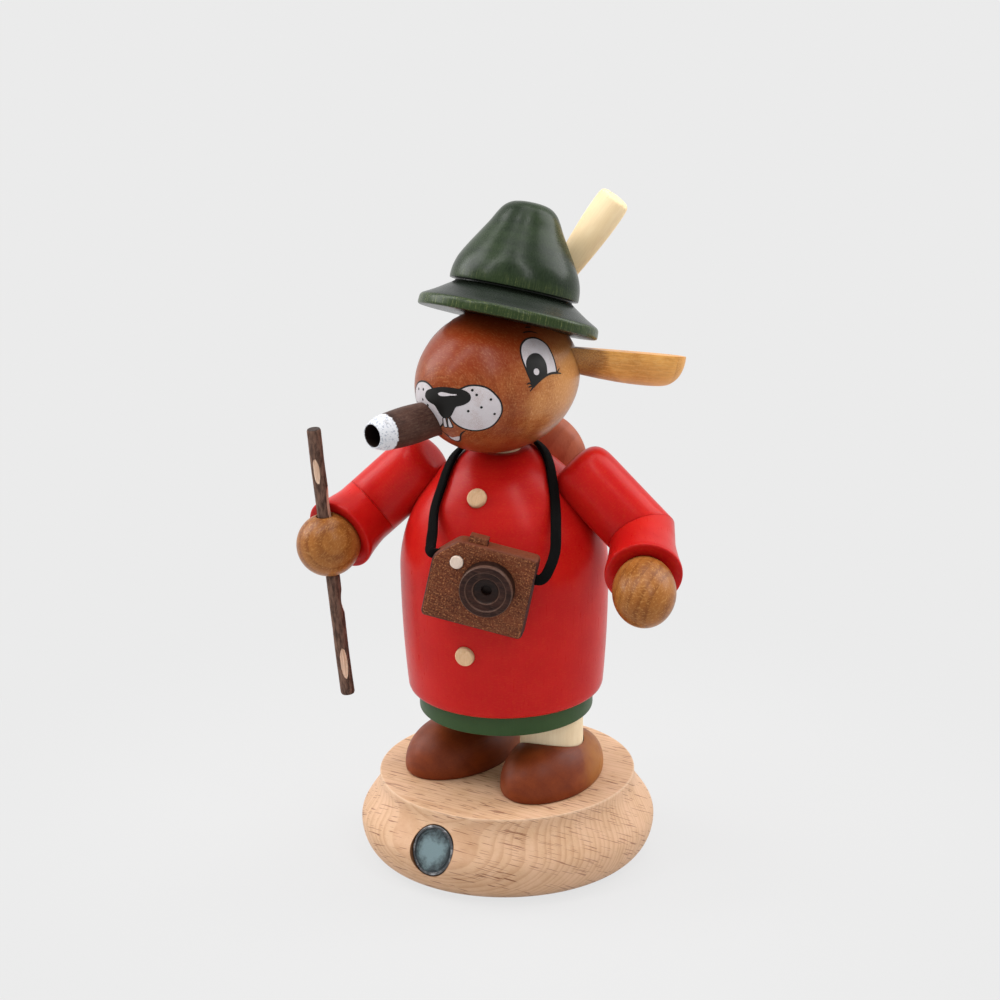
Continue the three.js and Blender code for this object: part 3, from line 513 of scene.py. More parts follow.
def coat_lean(up):
    """How far the coat's surface leans from upright, in degrees."""
    step = 0.05
    return math.degrees(math.atan2(coat_radius(up - step) - coat_radius(up + step), 2 * step))


# Strap: a flat lace from one side of the camera round the neck to the other
def strap_on_coat(degrees, up, lift):
    out = direction(degrees, coat_lean(up))
    at = direction(degrees, 0) * coat_radius(up) + Vector((0, 0, COAT_Z + up))
    return UPPER @ (at + out * (STRAP_OFF_COAT + lift)), UPPER.to_3x3() @ out


def strap_at_camera(side, outward, behind, above):
    at = Vector((side * (CAMERA_W / 2 + outward), CAMERA_T / 2 + behind, STRAP_UP + above))
    return CAMERA @ at, CAMERA.to_3x3() @ Vector((0, -1, 0))


def make_strap():
    stations = [strap_at_camera(-1, *place) for place in STRAP_RIGHT_FREE]
    stations += [strap_on_coat(*place) for place in STRAP_ON_COAT]
    stations += [strap_at_camera(1, *place) for place in STRAP_LEFT_FREE]
    steps = 14
    route = smooth_line([at for at, out in stations], steps)
    corner = [Vector((math.cos(a), math.sin(a))) for a in (math.radians(15 + 30 * k) for k in range(12))]
    section = []
    for x, y in corner:
        section.append(Vector((
            math.copysign(abs(x) ** STRAP_FLAT_W, x) * STRAP_W / 2,
            math.copysign(abs(y) ** STRAP_FLAT_T, y) * STRAP_T / 2)))
    bm = bmesh.new()
    rings = []
    for i, middle in enumerate(route):
        tangent = (route[min(i + 1, len(route) - 1)] - route[max(i - 1, 0)]).normalized()
        place = min(i // steps, len(stations) - 2)
        out = stations[place][1].lerp(stations[place + 1][1], i / steps - place)
        out = (out - tangent * out.dot(tangent)).normalized()
        across = out.cross(tangent)
        rings.append([bm.verts.new(middle + across * u + out * v) for u, v in section])
    skin(bm, rings)
    bm.faces.new(rings[0])
    bm.faces.new(rings[-1])
    bmesh.ops.recalc_face_normals(bm, faces=bm.faces)
    strap = made("neck_strap", bm)
    shade(strap, 60)
    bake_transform(strap)
    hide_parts("camera_strap")
    shapes["camera_strap"] = strap


make_strap()


# Base with its badge
BADGE = shift(0, BADGE_POCKET - BASE_R, BADGE_UP) @ turn("X", 90 - BADGE_TILT)


def leg_hole(side, room, low, high):
    """A cutting shape for a leg."""
    return made("hole", rod(LEG_R + room, low, high), shift(side * LEG_X, LEG_Y, 0))


def make_base():
    bulge = BASE_H * 0.42
    neck = BASE_H * 0.93
    outline = [(0, 0), (BASE_FOOT_R - 0.5, 0), (BASE_FOOT_R, 0.15)]
    for angle in quarter(24, 4):
        r = BASE_FOOT_R + (BASE_R - BASE_FOOT_R) * math.sin(angle)
        outline.append((r, bulge * (1 - math.cos(angle))))
    for i in range(1, 33):
        r = BASE_TOP_R + (BASE_R - BASE_TOP_R) * (1 + math.cos(i / 32 * math.pi)) / 2
        outline.append((r, bulge + (neck - bulge) * i / 32))
    outline += [(BASE_TOP_R, BASE_H - 0.16), (BASE_TOP_R - 0.05, BASE_H - 0.05), (BASE_TOP_R - 0.16, BASE_H)]
    outline += [(20, BASE_H), (0, BASE_H)]
    base = made("turned_base", turned(outline, 160))
    pocket = scaled(rod(0.5, 0, BADGE_POCKET * 3, 96), BADGE_W + 0.5, BADGE_H + 0.5, 1)
    holes = [made("pocket", pocket, BADGE)]
    for side in (-1, 1):
        holes.append(leg_hole(side, HAIRLINE, BASE_H - LEG_IN_BASE - HAIRLINE, BASE_H + 1))
    cut(base, *holes)
    settle(base, "base")
    top = BADGE_TOP
    badge = turned(eased([
        (0, 0.05, 0), (0.5, 0.05, 0.01), (0.5, top - 0.1, 0.02), (0.487, top, 0.006), (0.45, top, 0.008),
        (0.44, top - 0.28, 0.004), (0.405, top - 0.28, 0.004), (0.4, top - 0.16, 0.003),
        (0.385, top - 0.16, 0.003), (0.38, top - 0.28, 0.004), (0, top - 0.24, 0),
    ], 3), 96)
    settle(made("bare_badge", scaled(badge, BADGE_W, BADGE_H, 1), BADGE), "badge")


make_base()


# Shoes, legs, hem disc, plate and nail
def make_shoe(name, side):
    widest = SHOE_WIDEST
    outline = [(0, 0), (0.955, 0), (0.972, 0.015), (0.988, 0.045), (0.997, 0.085), (1, widest)]
    for angle in quarter(30):
        outline.append((math.cos(angle) ** 0.88, widest + (1 - widest) * math.sin(angle) ** 0.94))
    outline[-1] = (0, 1)
    dome = scaled(turned(outline, 96), SHOE_HALF_W, SHOE_HALF_L, SHOE_H)
    for vert in dome.verts:
        back = max(0, vert.co.y / SHOE_HALF_L)
        vert.co.x *= 1 - SHOE_HEEL_TAPER * back**2
        vert.co.y += (SHOE_HEEL - 1) * back * SHOE_HALF_L
    place = shift(side * SHOE_X + SHOE_SHIFTS[name], SHOE_Y, BASE_H) @ turn("Z", SHOE_TURNS[name])
    shoe = made(f"{name}_shoe_dome", dome, place)
    cut(shoe, leg_hole(side, SHOE_ROOM, BASE_H - 1, HEM_Z))
    soften(shoe, 0.25, 50)
    settle(shoe, f"{name}_shoe")
    leg = dowel(LEG_R, BASE_H - LEG_IN_BASE, HEM_Z + LEG_IN_HEM, (0.4, 0.4), 3, 64)
    settle(made(f"{name}_leg_dowel", leg, shift(side * LEG_X, LEG_Y, 0)), f"{name}_leg")


def make_hem():
    hem = made("green_hem", turned(eased([
        (0, HEM_Z, 0), (HEM_R, HEM_Z, 0.45), (HEM_R, COAT_Z - 0.04, 0.25), (SPIGOT_R, COAT_Z - 0.04, 0),
        (SPIGOT_R, SPIGOT_TOP, 0.6), (0, SPIGOT_TOP, 0),
    ]), 144))
    socket_top = HEM_Z + LEG_IN_HEM + HAIRLINE
    sockets = [leg_hole(side, HAIRLINE, HEM_Z - 1, socket_top) for side in (-1, 1)]
    nail_hole = rod(NAIL_R + HAIRLINE, SPIGOT_TOP - NAIL_L, SPIGOT_TOP + 1, 32)
    cut(hem, *sockets, made("nail_hole", nail_hole))
    settle(hem, "hem_disc")
    floor = SPIGOT_TOP + 0.05
    inside = PLATE_R - PLATE_RIM_IN
    nail_hole_r = NAIL_R + PEG_ROOM
    dip = floor + PLATE_T * PLATE_DIP
    plate = turned(eased([
        (nail_hole_r, floor, 0), (inside, floor, 0.8), (PLATE_R, floor + PLATE_RIM_H, 0.2),
        (PLATE_R - PLATE_T * 0.7, floor + PLATE_RIM_H, 0.2), (inside - PLATE_T * 0.7, floor + PLATE_T, 0.8),
        (PLATE_R * 0.45, floor + PLATE_T, 0.3), (PLATE_R * 0.42, dip, 0.3),
        (nail_hole_r, dip, 0), (nail_hole_r, floor, 0),
    ], 4), 96)
    settle(made("cone_plate", plate), "incense_plate")
    head = dip + 0.05
    nail = turned(eased([
        (0, head + 0.9 - NAIL_L, 0), (NAIL_R, head + 2.1 - NAIL_L, 0.2), (NAIL_R, head, 0),
        (NAIL_HEAD_R, head, 0.15), (NAIL_HEAD_R * 0.75, head + 0.6, 0.5), (0, head + 0.95, 0),
    ], 4), 48)
    settle(made("brass_nail", nail), "plate_nail")


make_shoe("right", -1)
make_shoe("left", 1)
make_hem()


# Coat: a hollow dome with its buttons
def coat_outline(grow):
    outline = []
    levels = 70
    for i in range(levels + 1):
        up = COAT_H * math.sin((0.01 + 0.99 * i / levels) * math.pi / 2)
        lean = math.radians(coat_lean(min(up, COAT_H - 0.1)))
        outline.append(Vector((
            coat_radius(up) + grow * math.cos(lean), COAT_Z + up + grow * math.sin(lean))))
    return outline


def coat_form(grow):
    outline = coat_outline(grow)
    low = COAT_Z - grow
    return made("coat_form", turned([
        (0, low), (COAT_HEM_R - 0.6 + grow, low), *outline, (0, COAT_TOP + grow)], 128), UPPER)


def dowel_hole(side, up):
    """A cutting shape for a shoulder dowel."""
    up -= DOWEL_DROP
    place = along(Vector((0, 0, COAT_Z + up)), Vector((side, 0, 0)))
    hole = rod(DOWEL_HOLE_R, NECK_TUBE_R + DOWEL_OFF_NECK, coat_radius(up) + DOWEL_IN_ARM, 32)
    return made("hole", hole, UPPER @ place)


def button_frame(up, turned_by):
    out = direction(0, coat_lean(up))
    foot = Vector((0, -coat_radius(up), COAT_Z + up)) + out * (BUTTON_PROUD - BUTTON_L)
    return UPPER @ turn("Z", turned_by) @ along(foot, out)


def make_coat():
    chamber_r = COAT_R - COAT_WALL
    chamber_top = COAT_Z + CHAMBER_H
    neck = COAT_TOP - NECK_IN_COAT
    inside = eased([
        (NECK_TUBE_R + HAIRLINE, COAT_TOP, 0), (NECK_TUBE_R + HAIRLINE, neck, 0), (SMOKE_R, neck, 0),
        (SMOKE_R, chamber_top, 1), (chamber_r * 0.72, chamber_top - chamber_r * 0.3, 3),
        (chamber_r, chamber_top - chamber_r * 0.8, 3), (chamber_r, SPIGOT_TOP + 2, 0.4),
        (COAT_MOUTH_R, SPIGOT_TOP + 0.6, 0.3), (COAT_MOUTH_R, COAT_Z, 0),
    ])
    hem = [Vector((COAT_HEM_R - inset, COAT_Z + up)) for inset, up in COAT_EDGE]
    coat = made("red_coat", turned([
        *hem, *coat_outline(0), *inside, hem[0]], 160), UPPER)
    holes = []
    for name, (up, turned_by) in BUTTONS.items():
        frame_of_button = button_frame(up, turned_by)
        holes.append(made("hole", rod(BUTTON_R + PEG_ROOM, -HAIRLINE, BUTTON_L * 2, 48), frame_of_button))
        button = dowel(BUTTON_R, 0, BUTTON_L, (0.1, 0.45), 5, 48, 0.12)
        settle(made(f"{name}_dowel", button, frame_of_button), name)
    for arm in ARMS.values():
        holes.append(dowel_hole(arm["side"], arm["up"]))
    cut(coat, *holes)
    settle(coat, "coat")


make_coat()


# Arms: two mitred lengths each, a dished cuff and a hand
def hand_form(arm, middle, grow):
    r = arm["hand_r"] + grow
    half = arm["hand_half"] + grow
    tenon = HAND_TENON_R + grow
    end = middle - arm["hand_half"] - HAND_TENON_L - grow
    outline = [(0, end), (tenon, end)]
    start = math.asin(tenon / r)
    for i in range(41):
        angle = start + (math.pi - start) * i / 40
        outline.append((r * math.sin(angle), middle - half * math.cos(angle)))
    outline[-1] = (0, middle + half)
    return turned(outline, 96)


def make_arm(name, arm):
    side = arm["side"]
    lean = math.radians(UPPER_ARM_LEAN)
    shoulder = Vector((side * SHOULDER_X, 0, COAT_Z + arm["up"]))
    down = Vector((side * math.sin(lean), 0, -math.cos(lean)))
    elbow = shoulder + down * arm["upper"]
    forward = direction(side * arm["splay"], -FOREARM_DROP)
    mitre = (down + forward).normalized()

    upper_place = along(shoulder, down)
    outline = [(0, -arm["end"])]
    for angle in quarter(30):
        outline.append((
            ARM_R * math.sin(angle) ** SHOULDER_ROUNDING,
            -arm["end"] * max(math.cos(angle), 0) ** SHOULDER_ROUNDING))
    length = arm["upper"]
    outline += [(ARM_R, length * k / 6) for k in range(1, 7)]
    outline += [(ARM_R, length + 2 * ARM_R), (0, length + 2 * ARM_R)]
    to_upper = upper_place.inverted()
    edge = to_upper @ (elbow - mitre * MITRE_GAP)
    sleeve = trimmed(turned(outline, 96), edge, to_upper.to_3x3() @ mitre)
    upper_arm = made(f"{name}_upper_sleeve", sleeve, UPPER @ upper_place)
    cut(upper_arm, coat_form(HAIRLINE), dowel_hole(side, arm["up"]))
    soften(upper_arm, 0.12)
    settle(upper_arm, f"{name}_upper_arm")

    fore = arm["fore"]
    fore_place = along(elbow, forward)
    flare = smooth_line([
        (ARM_R, 0.15 * fore), (ARM_R + 0.03, 0.35 * fore), (ARM_R + (CUFF_R - ARM_R) * 0.5, 0.7 * fore),
        (CUFF_R, fore - 0.9)], 6)
    lip = eased([(CUFF_R, fore - 0.9, 0), (CUFF_R - 0.02, fore, 0.75), (CUFF_R - CUFF_RIM, fore - 0.1, 0.6),
                 (0, fore - CUFF_DISH, 0)], 8)
    outline = [Vector((0, -2 * ARM_R)), Vector((ARM_R, -2 * ARM_R)), *flare, *lip[1:]]
    to_fore = fore_place.inverted()
    edge = to_fore @ (elbow + mitre * MITRE_GAP)
    sleeve = trimmed(turned(outline, 96), edge, to_fore.to_3x3() @ -mitre)
    forearm = made(f"{name}_cuffed_sleeve", sleeve, UPPER @ fore_place)
    middle = fore - arm["in"] + arm["hand_half"]
    cut(forearm, made("hand_seat", hand_form(arm, middle, HAIRLINE), UPPER @ fore_place))
    settle(forearm, f"{name}_forearm")
    hand = made(f"{name}_paw", hand_form(arm, middle, 0), UPPER @ fore_place)
    return hand, elbow + forward * middle


left_paw = make_arm("left", ARMS["left"])[0]
settle(left_paw, "left_hand")
right_paw, right_middle = make_arm("right", ARMS["right"])
stick_way = Vector((
    -math.tan(math.radians(STICK_LEAN)), -math.tan(math.radians(STICK_FORWARD_LEAN)), 1)).normalized()
STICK = UPPER @ along(right_middle, stick_way)
cut(right_paw, made("stick_hole", rod(STICK_HOLE_R, -STICK_HOLE_HALF, STICK_HOLE_HALF, 48), STICK))
soften(right_paw, 0.15, 50)
settle(right_paw, "right_hand")

# Walking stick: a crooked twig whose whittled patches are (height, half length, facing angle, depth)
PATCHES = [
    (18.0, 3.3, -84, 0.2), (9.5, 4.6, 8, 0.42), (-14.0, 2.8, 25, 0.42), (-28.8, 4.0, -62, 0.26),
    (-20.5, 3.0, 118, 0.4), (21.5, 2.6, 150, 0.4),
]


def make_stick():
    sides = 72
    bottom = -STICK_BELOW_HAND
    levels = 260
    bm = bmesh.new()
    peeled = bm.verts.layers.float.new("peeled")
    rings = []
    for i in range(levels + 1):
        z = bottom + STICK_L * i / levels
        inset = min(i, levels - i)
        rim = STICK_END_EASE * max(0, 1 - inset / 2) ** 2
        sway = Vector((noise.noise(Vector((0, 3.1, z * 0.09))), noise.noise(Vector((7.7, 0, z * 0.09)))))
        sway *= STICK_SWAY
        ring = []
        for k in range(sides):
            angle = 2 * math.pi * k / sides
            ridge = noise.noise(Vector((3 * math.cos(angle), 3 * math.sin(angle), z * 0.16)))
            grit = noise.noise(Vector((9 * math.cos(angle), 9 * math.sin(angle), z * 0.8)))
            swell = 1 + STICK_SWELL * noise.noise(Vector((0, 0, z * 0.2)))
            r = STICK_R * swell - rim + STICK_RIDGES * ridge + STICK_GRIT * grit
            bare = 0.0
            for height, half, facing, depth in PATCHES:
                along_patch = (z - height) / half
                if abs(along_patch) >= 1:
                    continue
                flat = STICK_R - depth * (1 - along_patch**2)
                turned_off = math.cos(angle - math.radians(facing))
                if turned_off > 0.2 and r * turned_off > flat:
                    bare = max(bare, min(1, (r * turned_off - flat) / 0.06))
                    r = flat / turned_off
            vert = bm.verts.new((r * math.cos(angle) + sway.x, r * math.sin(angle) + sway.y, z))
            vert[peeled] = bare
            ring.append(vert)
        rings.append(ring)
    skin(bm, rings)
    for ring in (rings[0], rings[-1]):
        middle = sum((vert.co for vert in ring), Vector()) / sides
        centre = bm.verts.new(middle)
        for k in range(sides):
            bm.faces.new((ring[k], ring[(k + 1) % sides], centre))
    bmesh.ops.recalc_face_normals(bm, faces=bm.faces)
    settle(made("twig", bm, STICK), "walking_stick")


make_stick()


# Rucksack and neck tube
def make_rucksack():
    pill = [(0, 0)]
    for angle in quarter(20):
        pill.append((RUCKSACK_R * math.sin(angle), RUCKSACK_FOOT * RUCKSACK_R * (1 - math.cos(angle))))
    for angle in quarter(30, 0):
        pill.append((RUCKSACK_R * math.cos(angle), RUCKSACK_H - RUCKSACK_R * (1 - math.sin(angle))))
    pill[-1] = (0, RUCKSACK_H)
    back = coat_radius(RUCKSACK_UP + RUCKSACK_H - RUCKSACK_R) + RUCKSACK_DEPTH * RUCKSACK_OFF_COAT
    form = scaled(turned(pill, 96), 1, RUCKSACK_DEPTH / 2 / RUCKSACK_R, 1)
    sack = made("wooden_rucksack", form, UPPER @ shift(0, back, COAT_Z + RUCKSACK_UP))
    cut(sack, coat_form(HAIRLINE))
    settle(sack, "rucksack")


def make_neck():
    low = COAT_TOP - NECK_IN_COAT + HAIRLINE
    high = low + NECK_TUBE_L
    tube = turned([
        (SMOKE_R, low), (NECK_TUBE_R, low), (NECK_TUBE_R, high), (SMOKE_R, high), (SMOKE_R, low)], 64)
    settle(made("smoke_tube", tube, UPPER), "neck_tube")


make_rucksack()
make_neck()


# Head: an egg lying along the face's direction
def egg_form(grow):
    outline = []
    for i in range(73):
        angle = math.pi * i / 72
        outline.append((math.sin(angle) * (HEAD_R + grow), -math.cos(angle) * (HEAD_HALF_L + grow)))
    outline[0] = (0, -HEAD_HALF_L - grow)
    outline[-1] = (0, HEAD_HALF_L + grow)
    bm = turned(outline, 128)
    bmesh.ops.rotate(bm, matrix=Matrix.Rotation(math.radians(-90), 3, "X"), verts=bm.verts)
    return bm


cigar_way = direction(CIGAR_YAW, CIGAR_PITCH)
CIGAR = HEAD @ along(MOUTH, cigar_way)
hat_way = Vector((0, math.sin(math.radians(HAT_TILT)), math.cos(math.radians(HAT_TILT))))
HAT = HEAD @ along(Vector((0, -HAT_FORWARD, 0)) + hat_way * HAT_UP, hat_way)


def ear_frame(name, side):
    """An ear's place in the head's frame and its upward direction."""
    root = Vector((side * EAR_ROOT.x, EAR_ROOT.y, EAR_ROOT.z))
    way = direction(side * (90 + EAR_BACK[name]), -EAR_DROOP)
    top = Vector((0, 0, 1))
    top = (top - way * top.dot(way)).normalized()
    top.rotate(Matrix.Rotation(math.radians(-side * EAR_ROLL), 3, way))
    return root, way, top


def ear_pin_hole(root, way, top):
    """A cutting shape for the dowel that holds an ear."""
    place = HEAD @ along(root - top * EAR_R * EAR_PIN_DOWN, way)
    return made("pin_hole", rod(EAR_PIN_R, -EAR_PIN_IN, EAR_PIN_IN, 24), place)


def make_head():
    to_egg = turn("X", -HEAD_PITCH).inverted()
    low = to_egg @ Vector((0, 0, -HEAD_SINK))
    form = trimmed(egg_form(0), low, to_egg.to_3x3() @ Vector((0, 0, -1)))
    head = made("hare_head", form, EGG)
    tube_top = COAT_TOP - NECK_IN_COAT + NECK_TUBE_L + 0.3
    tools = [made("neck_hole", rod(NECK_TUBE_R + HAIRLINE, COAT_TOP - 3, tube_top), UPPER)]
    tools.append(made("cigar_hole", rod(CIGAR_R + PEG_ROOM, -CIGAR_R - PEG_ROOM, 2 * CIGAR_R), CIGAR))
    for name, side in (("right", -1), ("left", 1)):
        tools.append(ear_pin_hole(*ear_frame(name, side)))
    cut(head, *tools)
    settle(head, "head")


def make_ear(name, side):
    outline = smooth_line([
        (0.74, -0.23), (0.8, 0.02), (0.9, 0.25), (0.97, 0.45), (1, 0.62), (0.998, 0.74), (0.96, 0.845),
        (0.8, 0.925), (0.55, 0.975), (0.28, 0.996), (0, 1)], 5)
    outline = [Vector((0, -0.23)), *outline]
    profile = [Vector((max(0, r) * EAR_R, up * EAR_L)) for r, up in outline]
    profile[-1].x = 0
    root, way, top = ear_frame(name, side)
    place = along(root, way)
    upward = place.to_3x3().inverted() @ top
    form = trimmed(turned(profile, 96), Vector(), upward)
    ear = made(f"{name}_split_ear", form, HEAD @ place)
    cut(ear, made("egg", egg_form(HAIRLINE), EGG), ear_pin_hole(root, way, top))
    soften(ear, 0.6, 50)
    settle(ear, f"{name}_ear")


def make_cigar():
    outline = [(CIGAR_DRAW_R, -CIGAR_R), (CIGAR_R, -CIGAR_R)]
    for i in range(25):
        part = i / 24
        outline.append((CIGAR_R + CIGAR_BULGE * math.sin(math.pi * part), (CIGAR_L - CIGAR_NOSE_L) * part))
    for i in range(1, 16):
        part = i / 16
        outline.append((CIGAR_R - (CIGAR_R - CIGAR_NOSE_R) * part**1.8, CIGAR_L - CIGAR_NOSE_L * (1 - part)))
    bore = eased([
        (*outline[-1], 0), (CIGAR_NOSE_R, CIGAR_L, 0.2), (CIGAR_BORE_R, CIGAR_L - 0.1, 0.15),
        (CIGAR_BORE_R, CIGAR_L - CIGAR_BORE_L, 0.3), (CIGAR_DRAW_R, CIGAR_L - CIGAR_BORE_L - 1, 0),
        (CIGAR_DRAW_R, -CIGAR_R, 0)])
    settle(made("bored_cigar", turned([*outline, *bore[1:]], 96), CIGAR), "cigar")


# Hat and feather
def feather_form(grow):
    outline = smooth_line([
        (0.62, 0), (0.78, 0.25), (0.92, 0.5), (1, 0.72), (1, 0.9), (0.96, 0.955), (0.85, 0.98),
        (0.5, 0.995), (0, 1)], 5)
    profile = [Vector((0, -grow))]
    for r, up in outline:
        profile.append(Vector((max(0, r), up * (FEATHER_L + 2 * grow) - grow)))
    profile[-1].x = 0
    return scaled(turned(profile, 64), FEATHER_HALF_W + grow, FEATHER_HALF_T + grow, 1)


def make_hat():
    turned_by = math.radians(FEATHER_AZIMUTH)
    reach = CROWN_R - FEATHER_IN
    foot = Vector((math.sin(turned_by) * reach, -math.cos(turned_by) * reach, CROWN_FOOT + FEATHER_UP))
    lean = math.radians(FEATHER_LEAN)
    feather_place = HAT @ along(foot, Vector((math.sin(lean), 0, math.cos(lean))))
    settle(made("wooden_feather", feather_form(0), feather_place), "feather")
    rise = HAT_H - CROWN_FOOT
    crown = [(1, 0.03), (0.995, 0.09), (0.98, 0.155), (0.94, 0.25), (0.84, 0.39), (0.69, 0.57), (0.565, 0.72)]
    crown += [(0.485, 0.83), (0.41, 0.91), (0.31, 0.965), (0.18, 0.992), (0, 1)]
    crown_line = smooth_line([(r * CROWN_R, CROWN_FOOT + up * rise) for r, up in crown], 6)
    for point in crown_line:
        point.x = max(0, point.x)
    crown_line[-1].x = 0
    brim = eased([
        (0, 0, 0), (BRIM_R, 0, 0.6), (BRIM_R - 0.1, BRIM_T, 0.8),
        (BRIM_R - (BRIM_R - CROWN_R) * 0.55, BRIM_T + (CROWN_FOOT - BRIM_T) * 0.34, 1.2),
        (CROWN_R - 0.45, CROWN_FOOT - HAT_GROOVE_H, 0.15),
        (CROWN_R - HAT_GROOVE - 0.5, CROWN_FOOT - 0.5, 0.2),
        (CROWN_R - HAT_GROOVE - 0.5, CROWN_FOOT - 0.15, 0.05),
        (CROWN_R - 0.05, CROWN_FOOT, 0.15), (CROWN_R, CROWN_FOOT + 0.03 * rise, 0)])
    hat = made("green_hat", turned([*brim, *crown_line[1:]], 144), HAT)
    cut(hat, made("egg", egg_form(HAIRLINE), EGG), made("feather", feather_form(HAIRLINE), feather_place))
    settle(hat, "hat")


make_head()
make_ear("left", 1)
make_ear("right", -1)
make_cigar()
make_hat()


# Camera: a sawn board with a turned lens, a pale dowel and a small block
def make_camera():
    w = CAMERA_W / 2
    h = CAMERA_H / 2
    corners = [(-w, -h), (w, -h), (w, h), (CAMERA_CHAMFER - w, h), (-w, h - CAMERA_CHAMFER)]
    looped = [(x, z, CAMERA_CORNER) for x, z in corners]
    outline = eased([(*corners[-1], 0), *looped, (*corners[0], 0)], 8)[1:-1]
    bm = bmesh.new()
    front = [bm.verts.new((x, 0, z)) for x, z in outline]
    back = [bm.verts.new((x, CAMERA_T, z)) for x, z in outline]
    bm.faces.new(front)
    bm.faces.new(list(reversed(back)))
    skin(bm, [front, back])
    bmesh.ops.recalc_face_normals(bm, faces=bm.faces)
    board = made("camera_board", bm, CAMERA)
    soften(board, CAMERA_EDGE, 60)
    lens_place = CAMERA @ shift(LENS_X, 0, LENS_Z) @ TO_FRONT
    flash_place = CAMERA @ shift(FLASH_X, 0, FLASH_Z) @ TO_FRONT
    tools = [made("lens_hole", rod(LENS_TENON_R + HAIRLINE, -LENS_TENON_L - HAIRLINE, 1), lens_place)]
    tools.append(made("flash_hole", rod(FLASH_R + PEG_ROOM, -LENS_TENON_L - HAIRLINE, 1, 32), flash_place))
    for side in (-1, 1):
        slot = block(2 * (STRAP_IN + SLOT_ROOM), STRAP_T + 2 * SLOT_ROOM, STRAP_W + 2 * SLOT_ROOM)
        tools.append(made("slot", slot, CAMERA @ shift(side * w, CAMERA_T / 2, STRAP_UP)))
    mortise = block(SHUTTER_W + 2 * HAIRLINE, SHUTTER_D + 2 * HAIRLINE, 2 * (SHUTTER_IN + HAIRLINE))
    tools.append(made("mortise", mortise, CAMERA @ shift(SHUTTER_X, CAMERA_T / 2, h)))
    cut(board, *tools)
    settle(board, "camera_body")

    lens = turned(eased([
        (0, -LENS_TENON_L, 0), (LENS_TENON_R, -LENS_TENON_L, 0.1), (LENS_TENON_R, 0.06, 0),
        (LENS_R, 0.06, 0.1), (LENS_R - 0.15, LENS_L, 0.45), (LENS_R * 0.76, LENS_L, 0.2),
        (LENS_R * 0.72, LENS_L - 0.4, 0.15), (LENS_R * 0.5, LENS_L - 0.5, 0.2),
        (LENS_R * 0.44, LENS_L - 1.05, 0.2), (LENS_HOLE_R, LENS_L - 1.4, 0.1),
        (LENS_HOLE_R, LENS_L - 3, 0.1), (0, LENS_L - 3, 0),
    ], 4), 96)
    settle(made("turned_lens", lens, lens_place), "camera_lens")
    flash = dowel(FLASH_R, -LENS_TENON_L, FLASH_PROUD, (0.1, 0.2), 4, 40)
    settle(made("flash_dowel", flash, flash_place), "camera_flash")
    shutter = made(
        "shutter_block", block(SHUTTER_W, SHUTTER_D, SHUTTER_PROUD + SHUTTER_IN),
        CAMERA @ shift(SHUTTER_X, CAMERA_T / 2, h + (SHUTTER_PROUD - SHUTTER_IN) / 2))
    soften(shutter, 0.18)
    settle(shutter, "camera_shutter")


make_camera()

# Printed face. Points are (yaw, pitch) in degrees as seen from the middle of the head.
LEFT_CHEEK = [
    (11.6, 10.6), (18.1, 13.4), (27.6, 11.9), (34.8, 4.6), (36.4, -0.4), (35.9, -5.6), (29.8, -13.7),
    (19, -16.1), (9.7, -12.3), (5.7, -6.8), (5.5, -3), (6.8, 1.9), (8.7, 6.7),
]
NOSE = [
    (-11.9, 4.6), (-10.5, 6.6), (-6.2, 8.7), (-1, 10.4), (4.2, 11), (9.1, 11), (14.2, 10.3), (17.3, 8.4),
    (18.1, 6.3), (17.4, 4.2), (15.2, 2.5), (12.2, 1.2), (9.9, 0.5), (8.6, -1.4), (7.5, -3.6), (6.2, -5.6),
    (3.5, -7.1), (0.5, -7), (-1, -5.3), (-2.5, -2.7), (-4.2, -0.6), (-6.8, 0), (-10.2, 1.1), (-12, 2.6),
]
NOSE_GLINT = [
    (-1.6, 6.6), (0.3, 7.7), (3.7, 7.8), (6.6, 7.6), (10, 7.6), (9.8, 7.2), (6.7, 6.7), (3.1, 5.9),
    (-0.4, 5.7),
]
TEETH = [
    [(0.6, -7.6), (2.6, -7.2), (2.2, -14), (-0.5, -14.3)],
    [(3.7, -7.1), (4.9, -7.3), (6.1, -13.4), (2.8, -14.2)],
]
SMILE = [
    (13.3, -15.9), (11.4, -17.1), (9.6, -19), (8.2, -22.1), (7, -25.2), (4.8, -27.3), (1.4, -27.1),
    (-0.6, -24.9), (-1.3, -22.3), (-3.3, -19.9), (-4.1, -18.4),
]
LIP = [
    (-1.3, -22.3), (0.5, -23.9), (3.5, -22.9), (7.7, -21.5), (6.1, -26.1), (3.5, -27.3), (0.7, -26.5),
    (-0.8, -24.2),
]
CHEEK_DOTS = [(18.7, 10.6), (21.3, 7.9), (29.6, 4.9), (24, 0.3), (16.5, -1.9), (31.7, -4.8)]
RIGHT_DOTS = [(-20.5, 4.9), (-14.5, 6.2), (-14.9, 0), (-10, -2), (-24.2, -4.7)]
EYE = [
    (55.4, 37.2), (58.5, 41.9), (65.4, 45.6), (73.9, 46.7), (81.1, 45.5), (87.1, 42.1), (90.8, 37.4),
    (91.3, 32.2), (91, 26), (90.3, 20.2), (88.7, 14.7), (82.7, 15.3), (77.4, 15.3), (72.2, 14.3),
    (67.2, 12.5), (63.2, 10.5), (60.6, 9.2), (59, 15), (57.4, 19.7), (56.4, 23.6), (55.4, 27.6), (54.8, 31.5),
]
PUPIL = [
    (57.5, 27), (60.1, 30.8), (64.5, 33.3), (69.8, 33.9), (74.9, 32.4), (78, 28.4), (79, 24), (78.3, 19.6),
    (76.5, 15.6), (72.2, 14.3), (67.2, 12.5), (63.2, 10.5), (60.6, 9.4), (59.6, 13), (58.4, 17.3),
    (57.3, 21.3),
]
